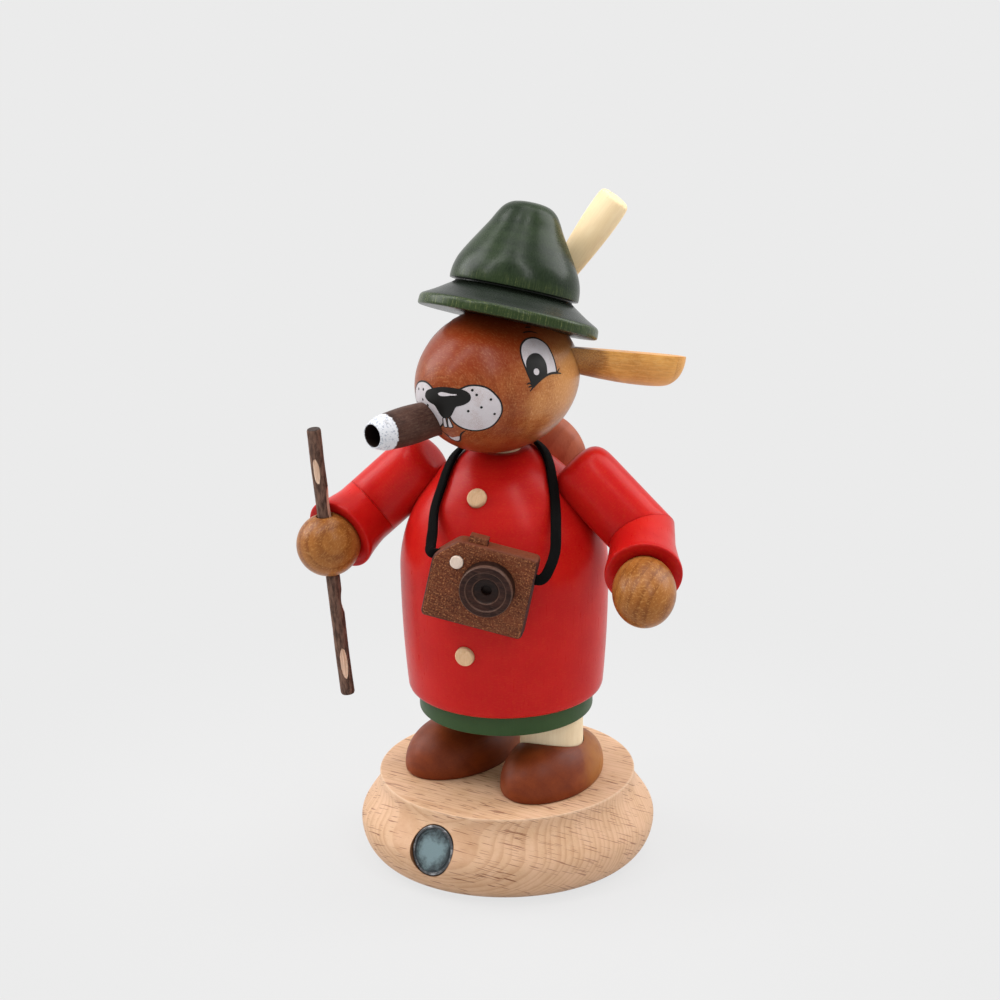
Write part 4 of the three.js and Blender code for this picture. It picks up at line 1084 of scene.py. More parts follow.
SPARK = [(63.2, 19.8), (64, 21.6), (66, 22.3), (68, 21.6), (68.9, 19.8), (68, 18), (66, 17.3), (64, 18)]
LID = [
    (57.7, 6.7), (60.6, 9.2), (63.3, 10.8), (69.7, 13.6), (76.1, 15.3), (82.8, 15.5), (88.9, 14.2),
    (95.2, 12.1),
]
LASHES = [
    [(89, 14.4), (91.6, 15.2), (94.5, 16.7)], [(59.6, 11.3), (57.7, 12.7), (55.3, 12.1)],
    [(59.7, 9.9), (57.8, 10.2), (56.6, 9.7)],
]
BROWS = [[(67.4, 52.2), (74.4, 52.6), (82.5, 51.5), (89.1, 48.6)], [(77.5, 57), (82, 56.6), (87.4, 55.5)]]
FACE_MIDDLE = 3.1
FACE_ROLL = math.radians(4.5)
WHITE_INK = 0
BLACK_INK = 1
INK_DEPTH = 0.12
# How far each mark stands off the head, so that those on top cover those below
LIFTS = {
    "ground": 0.03, "line": 0.045, "pupil": 0.05, "lid": 0.055, "tooth": 0.055, "tooth_line": 0.065,
    "spark": 0.065, "nose": 0.075, "glint": 0.09,
}
WIDTHS = {"cheek": 0.38, "smile": 0.4, "tooth": 0.26, "eye": 0.42, "lid": 0.5, "lash": 0.34}
DOT_R = 0.32
TOOTH_ROUNDING = 0.12


def on_egg(yaw, pitch, lift):
    """A point over the head's surface, in the egg's own frame."""
    way = turn("X", HEAD_PITCH).to_3x3() @ direction(yaw, pitch)
    stretch = Vector((way.x / HEAD_R, way.y / HEAD_HALF_L, way.z / HEAD_R)).length
    point = way / stretch
    out = Vector((point.x / HEAD_R**2, point.y / HEAD_HALF_L**2, point.z / HEAD_R**2)).normalized()
    return point + out * lift


def mirrored(points):
    """The same marks on the other side of the muzzle, which is rolled a little."""
    result = []
    for yaw, pitch in points:
        across = (yaw - FACE_MIDDLE) * math.cos(FACE_ROLL) + pitch * math.sin(FACE_ROLL)
        upward = pitch * math.cos(FACE_ROLL) - (yaw - FACE_MIDDLE) * math.sin(FACE_ROLL)
        across = -across
        result.append((
            FACE_MIDDLE + across * math.cos(FACE_ROLL) - upward * math.sin(FACE_ROLL),
            across * math.sin(FACE_ROLL) + upward * math.cos(FACE_ROLL)))
    return list(reversed(result))


def other_side(points):
    return [(-yaw, pitch) for yaw, pitch in reversed(points)]


def print_patch(bm, points, ink, lift, steps=5):
    """A thin closed patch of ink inside a loop."""
    loop = smooth_line(points, steps, True)
    middle = sum(loop, Vector((0, 0))) / len(loop)
    count = len(loop)
    shares = (0.2, 0.4, 0.6, 0.8, 1)
    sheets = []
    for height in (lift, -INK_DEPTH):
        centre = bm.verts.new(on_egg(middle.x, middle.y, height))
        rings = []
        for share in shares:
            rings.append([bm.verts.new(on_egg(*middle.lerp(p, share), height)) for p in loop])
        sheets.append((centre, rings))
    faces = []
    for centre, rings in sheets:
        for k in range(count):
            n = (k + 1) % count
            faces.append(bm.faces.new((centre, rings[0][k], rings[0][n])))
            for low, high in zip(rings, rings[1:]):
                faces.append(bm.faces.new((low[k], high[k], high[n], low[n])))
    faces += skin(bm, [rings[-1] for centre, rings in sheets])
    for face in faces:
        face.material_index = ink


def print_line(bm, points, width, ink, lift, closed=False, steps=5):
    """A thin ribbon of ink along a line; an open one is drawn to fine ends."""
    line = smooth_line(points, steps, closed)
    count = len(line)
    rings = []
    for i, place in enumerate(line):
        before = line[i - 1] if closed else line[max(i - 1, 0)]
        after = line[(i + 1) % count] if closed else line[min(i + 1, count - 1)]
        middle = on_egg(*place, 0)
        way = (on_egg(*after, 0) - on_egg(*before, 0)).normalized()
        out = (on_egg(*place, 1) - middle).normalized()
        across = out.cross(way)
        half = width / 2
        if not closed:
            half *= min(1, 0.35 + 4 * i / (count - 1), 0.35 + 4 * (count - 1 - i) / (count - 1))
        rings.append([
            bm.verts.new(middle + across * u * half + out * v)
            for u, v in ((-1, -INK_DEPTH), (1, -INK_DEPTH), (1, lift), (-1, lift))])
    if closed:
        faces = skin(bm, [*rings, rings[0]])
    else:
        faces = [bm.faces.new(rings[0]), bm.faces.new(rings[-1]), *skin(bm, rings)]
    for face in faces:
        face.material_index = ink


def print_dot(bm, yaw, pitch, r, lift):
    squeeze = max(0.3, math.cos(math.radians(pitch)))
    size = math.degrees(r / HEAD_HALF_L)
    points = []
    for k in range(8):
        angle = k / 8 * 2 * math.pi
        points.append((yaw + size * math.cos(angle) / squeeze, pitch + size * math.sin(angle)))
    print_patch(bm, points, BLACK_INK, lift, 3)


def make_face():
    bm = bmesh.new()
    for cheek in (LEFT_CHEEK, mirrored(LEFT_CHEEK)):
        print_patch(bm, cheek, WHITE_INK, LIFTS["ground"])
        print_line(bm, cheek, WIDTHS["cheek"], BLACK_INK, LIFTS["line"], True)
    for yaw, pitch in (*CHEEK_DOTS, *RIGHT_DOTS):
        print_dot(bm, yaw, pitch, DOT_R, LIFTS["line"])
    print_patch(bm, LIP, WHITE_INK, LIFTS["ground"])
    print_line(bm, SMILE, WIDTHS["smile"], BLACK_INK, LIFTS["line"])
    for tooth in TEETH:
        rounded = []
        for i, corner in enumerate(tooth):
            here = Vector(corner)
            for other in (tooth[i - 1], tooth[(i + 1) % 4]):
                rounded.append(tuple(here.lerp(Vector(other), TOOTH_ROUNDING)))
        print_patch(bm, rounded, WHITE_INK, LIFTS["tooth"], 2)
        print_line(bm, rounded, WIDTHS["tooth"], BLACK_INK, LIFTS["tooth_line"], True, 2)
    print_patch(bm, NOSE, BLACK_INK, LIFTS["nose"])
    print_patch(bm, NOSE_GLINT, WHITE_INK, LIFTS["glint"])
    for side in (list, other_side):
        print_patch(bm, side(EYE), WHITE_INK, LIFTS["ground"], 4)
        print_line(bm, side(EYE), WIDTHS["eye"], BLACK_INK, LIFTS["line"], True, 4)
        print_patch(bm, side(PUPIL), BLACK_INK, LIFTS["pupil"], 4)
        print_patch(bm, side(SPARK), WHITE_INK, LIFTS["spark"], 3)
        print_line(bm, side(LID), WIDTHS["lid"], BLACK_INK, LIFTS["lid"])
        for line in (*LASHES, *BROWS):
            print_line(bm, side(line), WIDTHS["lash"], BLACK_INK, LIFTS["line"])
    bmesh.ops.recalc_face_normals(bm, faces=bm.faces)
    face = made("printed_face", bm, EGG)
    shade(face, 50)
    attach(face, "upper_figure")
    shapes["face"] = face


make_face()


# Finishes
MICRON = 0.000001


def colour(r, g, b):
    return (r, g, b, 1.0)


class Nodes:
    """Adds nodes to one tree and links them."""

    def __init__(self, tree):
        self.tree = tree

    def put(self, socket, value):
        if isinstance(value, bpy.types.NodeSocket):
            self.tree.links.new(value, socket)
        else:
            socket.default_value = value

    def add(self, kind, inputs=(), **settings):
        node = self.tree.nodes.new("ShaderNode" + kind)
        for name, value in settings.items():
            setattr(node, name, value)
        for name, value in dict(inputs).items():
            self.put(node.inputs[name], value)
        return node

    def math(self, operation, a, b=0.0):
        return self.add("Math", {0: a, 1: b}, operation=operation).outputs[0]

    def times(self, a, b):
        return self.math("MULTIPLY", a, b)

    def plus(self, a, b):
        return self.math("ADD", a, b)

    def minus(self, a, b):
        return self.math("SUBTRACT", a, b)

    def most(self, a, b):
        return self.math("MAXIMUM", a, b)

    def stray(self, mask, amount):
        """How far a mask is from its middle value, times an amount."""
        return self.times(self.minus(mask, 0.5), amount)

    def vector(self, operation, a, b=(0, 0, 0)):
        return self.add("VectorMath", {0: a, 1: b}, operation=operation).outputs

    def stretched(self, place, x, y, z):
        return self.vector("MULTIPLY", place, (x, y, z))["Vector"]

    def millimetres(self, place):
        return self.stretched(place, 1000, 1000, 1000)

    def length(self, place):
        return self.vector("LENGTH", place)["Value"]

    def off_axis(self, place):
        """How far a place is from the Z axis."""
        return self.length(self.stretched(place, 1, 1, 0))

    def moved(self, place, rotation, location):
        return self.add("Mapping", {"Vector": place, "Rotation": rotation, "Location": location}).outputs[0]

    def split(self, place):
        return self.add("SeparateXYZ", {0: place}).outputs

    def noise(self, place, scale=1.0, detail=2.0, roughness=0.5):
        inputs = {"Vector": place, "Scale": scale, "Detail": detail, "Roughness": roughness}
        return self.add("TexNoise", inputs).outputs[0]

    def ramp(self, value, low, high, out_low=0.0, out_high=1.0):
        inputs = {0: value, 1: low, 2: high, 3: out_low, 4: out_high}
        return self.add("MapRange", inputs, interpolation_type="SMOOTHSTEP").outputs[0]

    def band(self, value, start, full, fade, end):
        """A mask that rises from start to full and falls from fade to end."""
        return self.times(self.ramp(value, start, full), self.ramp(value, end, fade))

    def blend(self, share, a, b):
        return self.add("Mix", {0: share, 6: a, 7: b}, data_type="RGBA").outputs[2]

    def tinted(self, tint, mask, share, tone):
        """A tint under another tone, which a mask lays on at a share of its strength."""
        return self.blend(self.times(mask, share), tint, colour(*tone))


def shared_effect(name, inputs, outputs):
    """A node group with named sockets; gives it, its nodes, what it is given and where its results go."""
    group = bpy.data.node_groups.new(name, "ShaderNodeTree")
    for label, kind, value in inputs:
        socket = group.interface.new_socket(name=label, in_out="INPUT", socket_type="NodeSocket" + kind)
        if value is not None:
            socket.default_value = value
    for label in outputs:
        group.interface.new_socket(name=label, in_out="OUTPUT", socket_type="NodeSocketFloat")
    nodes = Nodes(group)
    given = group.nodes.new("NodeGroupInput").outputs
    result = group.nodes.new("NodeGroupOutput").inputs
    return group, nodes, given, result


def make_wood_grain():
    group, n, given, result = shared_effect(
        "Wood Grain",
        [("Place", "Vector", None), ("Ring Width", "Float", 1.4), ("Bow", "Float", 2.0)],
        ["Rings", "Fibres", "Flecks", "Streaks", "Shimmer", "Cloud"])
    place = n.millimetres(given["Place"])
    drift = n.stray(n.noise(n.stretched(place, 0.05, 0.05, 0.014), 1, 2), given["Bow"])
    count = n.math("DIVIDE", n.plus(n.off_axis(place), drift), given["Ring Width"])
    uneven = n.add("TexNoise", {"W": count, "Scale": 0.45, "Detail": 1.0}, noise_dimensions="1D").outputs[0]
    phase = n.math("FRACT", n.plus(count, n.times(uneven, 1.4)))
    n.put(result["Rings"], n.band(phase, 0.3, 0.9, 0.92, 1.0))
    n.put(result["Fibres"], n.noise(n.stretched(place, 3.2, 3.2, 0.13), 1, 3, 0.6))
    rays = n.noise(n.stretched(place, 4.2, 0.16, 0.2), 1, 1, 0.4)
    n.put(result["Flecks"], n.ramp(rays, 0.63, 0.68))
    short = n.noise(n.stretched(place, 2.6, 2.6, 0.75), 1, 2, 0.6)
    n.put(result["Streaks"], n.ramp(short, 0.5, 0.64))
    curls = n.vector("ADD", n.stretched(place, 1.5, 1.5, 4.6), n.noise(place, 0.7, 1))["Vector"]
    n.put(result["Shimmer"], n.ramp(n.noise(curls, 1, 2, 0.6), 0.5, 0.68))
    n.put(result["Cloud"], n.ramp(n.noise(place, 0.11, 3, 0.55), 0.3, 0.7))
    return group


def make_fine_wear():
    group, n, given, result = shared_effect(
        "Fine Wear", [("Place", "Vector", None), ("Grain Size", "Float", 0.25)], ["Specks", "Rubbed", "Dust"])
    place = n.millimetres(given["Place"])
    fine = n.math("DIVIDE", 1.0, given["Grain Size"])
    n.put(result["Specks"], n.ramp(n.noise(place, fine, 2, 0.6), 0.63, 0.72))
    n.put(result["Rubbed"], n.ramp(n.noise(place, 0.5, 4, 0.65), 0.48, 0.72))
    n.put(result["Dust"], n.noise(place, n.times(fine, 1.7), 1, 0.5))
    return group


def make_turning_marks():
    group, n, given, result = shared_effect("Turning Marks", [("Place", "Vector", None)], ["Grooves"])
    n.put(result["Grooves"], n.noise(n.stretched(given["Place"], 60, 60, 2600), 1, 2, 0.6))
    return group


WOOD_GRAIN = make_wood_grain()
FINE_WEAR = make_fine_wear()
TURNING_MARKS = make_turning_marks()


def effect(n, group, **inputs):
    node = n.tree.nodes.new("ShaderNodeGroup")
    node.node_tree = group
    for name, value in inputs.items():
        n.put(node.inputs[name.replace("_", " ").title()], value)
    return node.outputs


def begin(name):
    """A new material; gives it, its nodes and its surface shader."""
    material = bpy.data.materials.new(name)
    material.use_nodes = True
    surface = material.node_tree.nodes["Principled BSDF"]
    return material, Nodes(material.node_tree), surface


def own_place(n):
    return n.add("TexCoord").outputs["Object"]


def finish(n, surface, tint, rough, specular=0.5):
    n.put(surface.inputs["Base Color"], tint)
    n.put(surface.inputs["Roughness"], rough)
    surface.inputs["Specular IOR Level"].default_value = specular


def bumped(n, surface, height, relief):
    """Unevenness of a surface, with its relief in thousandths of a millimetre."""
    bump = n.add("Bump", {"Height": height, "Distance": relief * MICRON, "Strength": 1.0})
    n.put(surface.inputs["Normal"], bump.outputs[0])


def wooden(
    name, deep, light, ring=1.4, bow=2.0, lie=(0, 0, 0), pith=(0, 0, 0), cloud=0.5, fibres=0.5, rings=0.3,
    flecks=0.0, fleck_tint=None, streaks=0.0, shimmer=0.0, shimmer_tint=None, rough=(0.38, 0.55),
    specular=0.4, relief=30, marks=0.3, extra=None,
):
    """A wood finish between two tones.

    lie turns the grain, which runs along Z, and pith shifts the rings' middle, in mm. The grain's parts and
    the turning marks have their strengths. extra adds to the tint, and gets places in mm.
    """
    material, n, surface = begin(name)
    place = own_place(n)
    lying = n.moved(place, [math.radians(a) for a in lie], [a * MM for a in pith])
    grain = effect(n, WOOD_GRAIN, place=lying, ring_width=ring, bow=bow)
    wear = effect(n, FINE_WEAR, place=place)
    share = n.plus(n.stray(grain["Cloud"], cloud), n.stray(grain["Fibres"], fibres * 2))
    share = n.minus(share, n.times(grain["Rings"], rings))
    share = n.plus(share, n.stray(wear["Dust"], 0.25))
    share = n.plus(share, 0.5 + rings * 0.3)
    tint = n.blend(n.ramp(share, 0.0, 1.0), colour(*deep), colour(*light))
    if fleck_tint:
        tint = n.tinted(tint, grain["Flecks"], flecks, fleck_tint)
    if shimmer_tint:
        thin = n.most(n.times(grain["Shimmer"], shimmer), n.times(grain["Streaks"], streaks))
        tint = n.blend(thin, tint, colour(*shimmer_tint))
    if extra:
        tint = extra(n, n.millimetres(place), tint, grain, wear)
    uneven = n.plus(n.times(grain["Fibres"], 0.6), n.times(wear["Rubbed"], 0.4))
    finish(n, surface, tint, n.ramp(uneven, 0.1, 0.9, *rough), specular)
    grooves = effect(n, TURNING_MARKS, place=place)["Grooves"]
    bumped(n, surface, n.plus(grain["Fibres"], n.times(grooves, marks)), relief)
    return material


def worn_base(n, place, tint, grain, wear):
    """Turned beech is pinker in places, and its pocket for the badge was burnt by the bit. A painted
    highlight runs along the top edge.
    """
    tint = n.tinted(tint, grain["Cloud"], 0.35, (0.7, 0.43, 0.29))
    tint = n.tinted(tint, wear["Rubbed"], 0.12, (0.76, 0.57, 0.42))
    to_badge = BADGE.inverted()
    by_badge = n.moved(place, to_badge.to_euler(), to_badge.translation)
    across = n.stretched(by_badge, 2 / (BADGE_W + 0.6), 2 / (BADGE_H + 0.6), 0)
    tint = n.tinted(tint, n.ramp(n.length(across), 1.03, 0.99), 0.9, (0.13, 0.05, 0.018))
    # Painted highlight: a lighter line along the top edge, where its rounding catches the light.
    edge = n.ramp(n.off_axis(place), BASE_TOP_R - 0.45, BASE_TOP_R - 0.2)
    edge = n.times(edge, n.ramp(n.split(place)["Z"], BASE_H - 0.6, BASE_H - 0.15))
    return n.tinted(tint, edge, 0.25, (0.86, 0.68, 0.5))


def burnt_sides(n, place, tint, grain, wear):
    """Dark and golden pores on the front; sawn edges are burnt dark, with a painted highlight that makes them
    lighter and redder where they face up.
    """
    pores = n.noise(place, 2.6, 2, 0.6)
    tint = n.blend(n.ramp(pores, 0.46, 0.32, 0.0, 0.6), tint, colour(0.03, 0.009, 0.005))
    tint = n.blend(n.ramp(pores, 0.55, 0.68, 0.0, 0.75), tint, colour(0.48, 0.19, 0.075))
    facing = n.split(n.add("TexCoord").outputs["Normal"])
    # Painted highlight: the burnt edges are lighter and redder where they face up, as if lit from above.
    burnt = n.blend(n.ramp(facing["Z"], 0.2, 0.8), colour(0.03, 0.011, 0.011), colour(0.13, 0.032, 0.014))
    burnt = n.tinted(burnt, grain["Shimmer"], 0.3, (0.16, 0.06, 0.035))
    side = n.ramp(n.math("ABSOLUTE", facing["Y"]), 0.93, 0.6)
    return n.blend(n.times(side, 0.9), tint, burnt)


def golden_end(n, place, tint, grain, wear):
    """The stain is thinner and golden at the back of the head's left side, with a painted sheen on it; under
    the hat a redder band carries painted shade from the brim, and the head is darker towards the bottom.
    """
    x, y, z = n.split(place)
    uneven = n.plus(n.stray(grain["Cloud"], 0.3), n.stray(grain["Fibres"], 0.5))
    to_left = n.plus(n.plus(n.times(x, 0.052), n.times(y, 0.024)), uneven)
    height = n.plus(z, n.times(uneven, 8.0))
    # Under the hat: a redder band with painted shade from the brim.
    tint = n.tinted(tint, n.ramp(height, 4.0, 9.0), 0.85, (0.2, 0.024, 0.003))
    # Darker towards the bottom of the head.
    tint = n.tinted(tint, n.ramp(height, -6.0, -14.0), 0.75, (0.2, 0.024, 0.004))
    # Thinner, golden stain at the back of the left side, with a painted sheen on it.
    golden = n.times(n.ramp(to_left, 0.15, 1.15), n.ramp(height, 13.0, 5.0, 0.25, 1.0))
    tint = n.blend(golden, tint, colour(0.5, 0.22, 0.065))
    # Lighter flecks, strongest where the stain is thin and the sheen is painted.
    sparks = n.times(n.most(wear["Specks"], grain["Shimmer"]), n.ramp(golden, 0.0, 1.0, 0.1, 0.5))
    return n.blend(sparks, tint, colour(0.72, 0.42, 0.19))


def ear_root(n, place, tint, grain, wear):
    """Darker towards the root, where the ear meets the head, with lighter specks."""
    height = n.plus(n.split(place)["Z"], n.stray(grain["Fibres"], 4.0))
    root = n.times(n.ramp(height, 7.4, 4.0), n.ramp(wear["Dust"], 0.3, 0.6, 1.0, 0.5))
    tint = n.tinted(tint, root, 0.85, (0.11, 0.035, 0.012))
    return n.tinted(tint, wear["Specks"], 0.4, (0.72, 0.4, 0.13))


def shoe_edge(n, place, tint, grain, wear):
    """Lighter and golden at the back right of the left shoe."""
    here = n.split(place)
    back = n.plus(n.times(here["X"], 0.07), n.times(here["Y"], 0.06))
    back = n.plus(back, n.stray(grain["Cloud"], 0.4))
    on_left = n.ramp(n.split(n.add("NewGeometry").outputs["Position"])["X"], -MM, MM)
    return n.blend(n.times(n.ramp(back, 0.5, 1.3), on_left), tint, colour(0.36, 0.13, 0.02))


def hat_rim(n, place, tint, grain, wear):
    """Stain that is thin and yellower round the brim's edge and at the crown's foot, and painted shade in the
    groove under the crown's foot.
    """
    radius = n.off_axis(place)
    up = n.minus(n.split(place)["Z"], CROWN_FOOT)
    brim = n.times(n.ramp(up, -0.7, -1.5), n.ramp(radius, BRIM_R - 0.3, BRIM_R - 0.7))
    tint = n.tinted(tint, brim, 0.8, (0.012, 0.015, 0.013))
    # Painted shade: the groove under the crown's foot is darkened nearly to black.
    tint = n.tinted(tint, n.band(up, -1.7, -1.1, -0.1, 0.05), 0.85, (0.004, 0.005, 0.004))
    foot = n.band(up, 0.05, 0.3, 0.7, 3.1)
    thin = n.most(n.ramp(radius, BRIM_R - 0.7, BRIM_R - 0.2), n.times(foot, 0.5))
    tint = n.tinted(tint, thin, 0.75, (0.024, 0.042, 0.011))
    specks = n.times(n.ramp(grain["Fibres"], 0.5, 0.7), n.ramp(wear["Dust"], 0.4, 0.65))
    return n.blend(n.times(thin, specks), tint, colour(0.2, 0.22, 0.08))


def painted_tip(n, place, tint, grain, wear):
    """White paint on the cigar's end, worn, and a darker bore."""
    reach = n.plus(n.split(place)["Z"], n.stray(grain["Fibres"], 1.2))
    tip = n.ramp(reach, PAINT_START, PAINT_START + 0.3)
    paint = n.blend(n.times(wear["Dust"], 0.8), colour(0.74, 0.74, 0.76), colour(0.5, 0.51, 0.55))
    specks = n.ramp(n.noise(place, 1.9, 2, 0.6), 0.52, 0.64, 0.0, 0.8)
    paint = n.blend(specks, paint, colour(0.3, 0.33, 0.4))
    tint = n.blend(n.times(tip, n.ramp(wear["Rubbed"], 1.0, 0.7, 0.75, 1.0)), tint, paint)
    bore = n.ramp(n.off_axis(place), CIGAR_BORE_R + 0.23, CIGAR_BORE_R + 0.05)
    return n.blend(bore, tint, colour(0.014, 0.008, 0.006))


def lens_rings(n, place, tint, grain, wear):
    """Painted shade darkens the hollow, with lighter edges where the steps were turned."""
    radius = n.off_axis(place)
    depth = n.minus(LENS_L, n.split(place)["Z"])
    # Painted shade, deeper in the hollow.
    tint = n.tinted(tint, n.ramp(depth, 0.4, 1.0), 0.6, (0.009, 0.005, 0.004))
    worn = n.times(n.ramp(wear["Dust"], 0.35, 0.6, 0.3, 0.8), n.ramp(depth, 1.4, 1.0))
    for step in LENS_EDGES:
        off_edge = n.math("ABSOLUTE", n.minus(radius, LENS_R * step))
        tint = n.blend(n.times(n.ramp(off_edge, 0.2, 0.06), worn), tint, colour(0.13, 0.07, 0.05))
    return tint


beech = wooden(
    "bare_beech", (0.5, 0.28, 0.15), (0.68, 0.45, 0.28), ring=1.2, bow=3.0, lie=(30, 90, 0), pith=(0, 70, 0),
    cloud=0.2, fibres=0.2, rings=0.32, flecks=0.9, fleck_tint=(0.2, 0.065, 0.026), rough=(0.5, 0.65),
    specular=0.25, relief=20, marks=0.05, extra=worn_base)
red_stain = wooden(
    "red_stain", (0.44, 0.003, 0.005), (0.55, 0.012, 0.009), ring=2.2, cloud=0.35, fibres=0.2, rings=0.1,
    shimmer=0.2, shimmer_tint=(0.55, 0.075, 0.012), rough=(0.27, 0.35), specular=0.12, relief=8)
brown_stain = wooden(
    "brown_head_stain", (0.19, 0.032, 0.006), (0.29, 0.066, 0.018), ring=1.8, lie=(90, 0, 0), cloud=0.35,
    fibres=0.5, rings=0.25, shimmer=0.12, shimmer_tint=(0.45, 0.17, 0.055), rough=(0.27, 0.38), specular=0.17,
    relief=12, marks=0.0, extra=golden_end)
shoe_stain = wooden(
    "brown_shoe_stain", (0.13, 0.02, 0.004), (0.24, 0.046, 0.009), ring=1.8, lie=(90, 0, 0), cloud=0.45,
    fibres=0.3, rings=0.1, rough=(0.42, 0.56), specular=0.22, relief=10, marks=0.0, extra=shoe_edge)
hand_stain = wooden(
    "golden_hand_stain", (0.19, 0.055, 0.009), (0.34, 0.125, 0.026), ring=2.3, bow=1.5, lie=(80, 20, 0),
    pith=(45, 0, 0), cloud=0.5, fibres=0.3, rings=0.35, shimmer=0.5, shimmer_tint=(0.52, 0.26, 0.08),
    rough=(0.28, 0.4), specular=0.2, relief=20, marks=0.0)
ear_stain = wooden(
    "golden_ear_stain", (0.46, 0.18, 0.03), (0.74, 0.36, 0.085), ring=1.6, cloud=0.6, fibres=0.6, rings=0.3,
    streaks=0.35, shimmer=0.3, shimmer_tint=(0.74, 0.44, 0.15), rough=(0.38, 0.52), specular=0.3,
    relief=30, marks=0.05, extra=ear_root)
pale_wood = wooden(
    "pale_bare_wood", (0.74, 0.55, 0.33), (0.9, 0.74, 0.51), ring=1.6, cloud=0.3, fibres=0.4, rings=0.2,
    rough=(0.5, 0.66), specular=0.2, relief=30, marks=0.15)
feather_wood = wooden(
    "pale_feather_wood", (0.78, 0.58, 0.33), (0.92, 0.73, 0.46), ring=1.6, cloud=0.3, fibres=0.4, rings=0.25,
    rough=(0.5, 0.66), specular=0.2, relief=30, marks=0.05)
button_wood = wooden(
    "button_wood", (0.54, 0.3, 0.15), (0.74, 0.48, 0.28), ring=1.2, lie=(80, 0, 0), cloud=0.3, fibres=0.5,
    rings=0.2, streaks=0.3, shimmer=0.25, shimmer_tint=(0.74, 0.56, 0.38), rough=(0.5, 0.62), specular=0.2,
    relief=30, marks=0.1)
flash_wood = wooden(
    "pale_flash_wood", (0.68, 0.52, 0.42), (0.86, 0.72, 0.61), ring=1.2, lie=(80, 0, 0), cloud=0.3,
    fibres=0.5, rings=0.2, rough=(0.5, 0.62), specular=0.2, relief=30, marks=0.1)
green_stain = wooden(
    "green_hem_stain", (0.021, 0.055, 0.012), (0.04, 0.085, 0.024), ring=2, cloud=0.3, fibres=0.25,
    rings=0.08, rough=(0.4, 0.52), specular=0.22, relief=10)
hat_stain = wooden(
    "dark_green_hat_stain", (0.006, 0.014, 0.004), (0.017, 0.031, 0.01), ring=1.6, cloud=0.7, fibres=0.5,
    rings=0.2, shimmer=0.12, shimmer_tint=(0.06, 0.08, 0.05), rough=(0.26, 0.34), specular=0.2, relief=12,
    extra=hat_rim)
sack_stain = wooden(
    "salmon_rucksack_stain", (0.28, 0.058, 0.024), (0.41, 0.11, 0.048), ring=1.8, cloud=0.4, fibres=0.4,
    rings=0.2, rough=(0.42, 0.56), specular=0.28, relief=20)
cigar_stain = wooden(
    "cigar_stain", (0.028, 0.011, 0.008), (0.072, 0.032, 0.022), ring=1.3, cloud=0.5, fibres=0.7, rings=0.2,
    streaks=0.25, shimmer=0.15, shimmer_tint=(0.16, 0.09, 0.065), rough=(0.42, 0.58), specular=0.14,
    relief=30, extra=painted_tip)
walnut = wooden(
    "oiled_walnut", (0.06, 0.014, 0.006), (0.19, 0.05, 0.02), ring=2.6, lie=(0, 78, 0), cloud=0.3, fibres=0.4,
    rings=0.1, flecks=0.5, fleck_tint=(0.022, 0.007, 0.005), streaks=0.3, shimmer=0.25,
    shimmer_tint=(0.34, 0.15, 0.07), rough=(0.45, 0.6), specular=0.12, relief=40, marks=0.0,
    extra=burnt_sides)
dark_walnut = wooden(
    "dark_lens_walnut", (0.012, 0.004, 0.003), (0.042, 0.015, 0.01), ring=1.2, lie=(0, 90, 0), cloud=0.4,
    fibres=0.8, rings=0.2, streaks=0.2, shimmer_tint=(0.12, 0.06, 0.042), rough=(0.34, 0.5), specular=0.15,
    relief=30, marks=0.6, extra=lens_rings)


def make_bark():
    material, n, surface = begin("twig_bark")
    place = own_place(n)
    millimetres = n.millimetres(place)
    grain = effect(n, WOOD_GRAIN, place=place, ring_width=1.2, bow=1.0)
    wear = effect(n, FINE_WEAR, place=place)
    plates = n.noise(n.stretched(millimetres, 1.5, 1.5, 0.35), 1, 4, 0.65)
    bark = n.blend(n.ramp(plates, 0.3, 0.7), colour(0.045, 0.023, 0.016), colour(0.19, 0.105, 0.075))
    bark = n.tinted(bark, wear["Specks"], 0.4, (0.24, 0.15, 0.11))
    sawn_end = n.ramp(n.split(millimetres)["Z"], STICK_TOP - 0.12, STICK_TOP - 0.04)
    bark = n.blend(sawn_end, bark, colour(0.05, 0.034, 0.03))
    bare = n.blend(n.ramp(grain["Fibres"], 0.3, 0.7), colour(0.54, 0.33, 0.22), colour(0.82, 0.6, 0.45))
    peeled = n.add("Attribute", attribute_name="peeled").outputs["Fac"]
    tint = n.blend(n.ramp(peeled, 0.2, 0.7), bark, bare)
    finish(n, surface, tint, n.ramp(plates, 0.2, 0.8, 0.6, 0.85), 0.2)
    barked = n.minus(1.0, n.times(peeled, 0.8))
    bumped(n, surface, n.times(plates, barked), 250)
    return material


def make_pewter():
    material, n, surface = begin("aged_pewter")
    place = own_place(n)
    millimetres = n.millimetres(place)
    wear = effect(n, FINE_WEAR, place=place, grain_size=0.18)
    field = n.ramp(n.split(millimetres)["Z"], BADGE_TOP - 0.08, BADGE_TOP - 0.16)
    high = n.blend(wear["Rubbed"], colour(0.1, 0.1, 0.105), colour(0.42, 0.42, 0.43))
    low = n.blend(wear["Dust"], colour(0.13, 0.2, 0.22), colour(0.25, 0.34, 0.36))
    outward = n.length(n.stretched(millimetres, 2 / BADGE_W, 2 / BADGE_H, 0))
    outward = n.plus(outward, n.stray(n.noise(millimetres, 0.4, 3, 0.6), 1.2))
    low = n.blend(n.ramp(outward, 0.35, 0.95), low, colour(0.035, 0.045, 0.05))
    finish(n, surface, n.blend(field, high, low), n.ramp(wear["Dust"], 0.2, 0.8, 0.32, 0.55))
    n.put(surface.inputs["Metallic"], n.ramp(field, 0.0, 1.0, 0.95, 0.35))
    bumped(n, surface, wear["Dust"], 40)
    return material


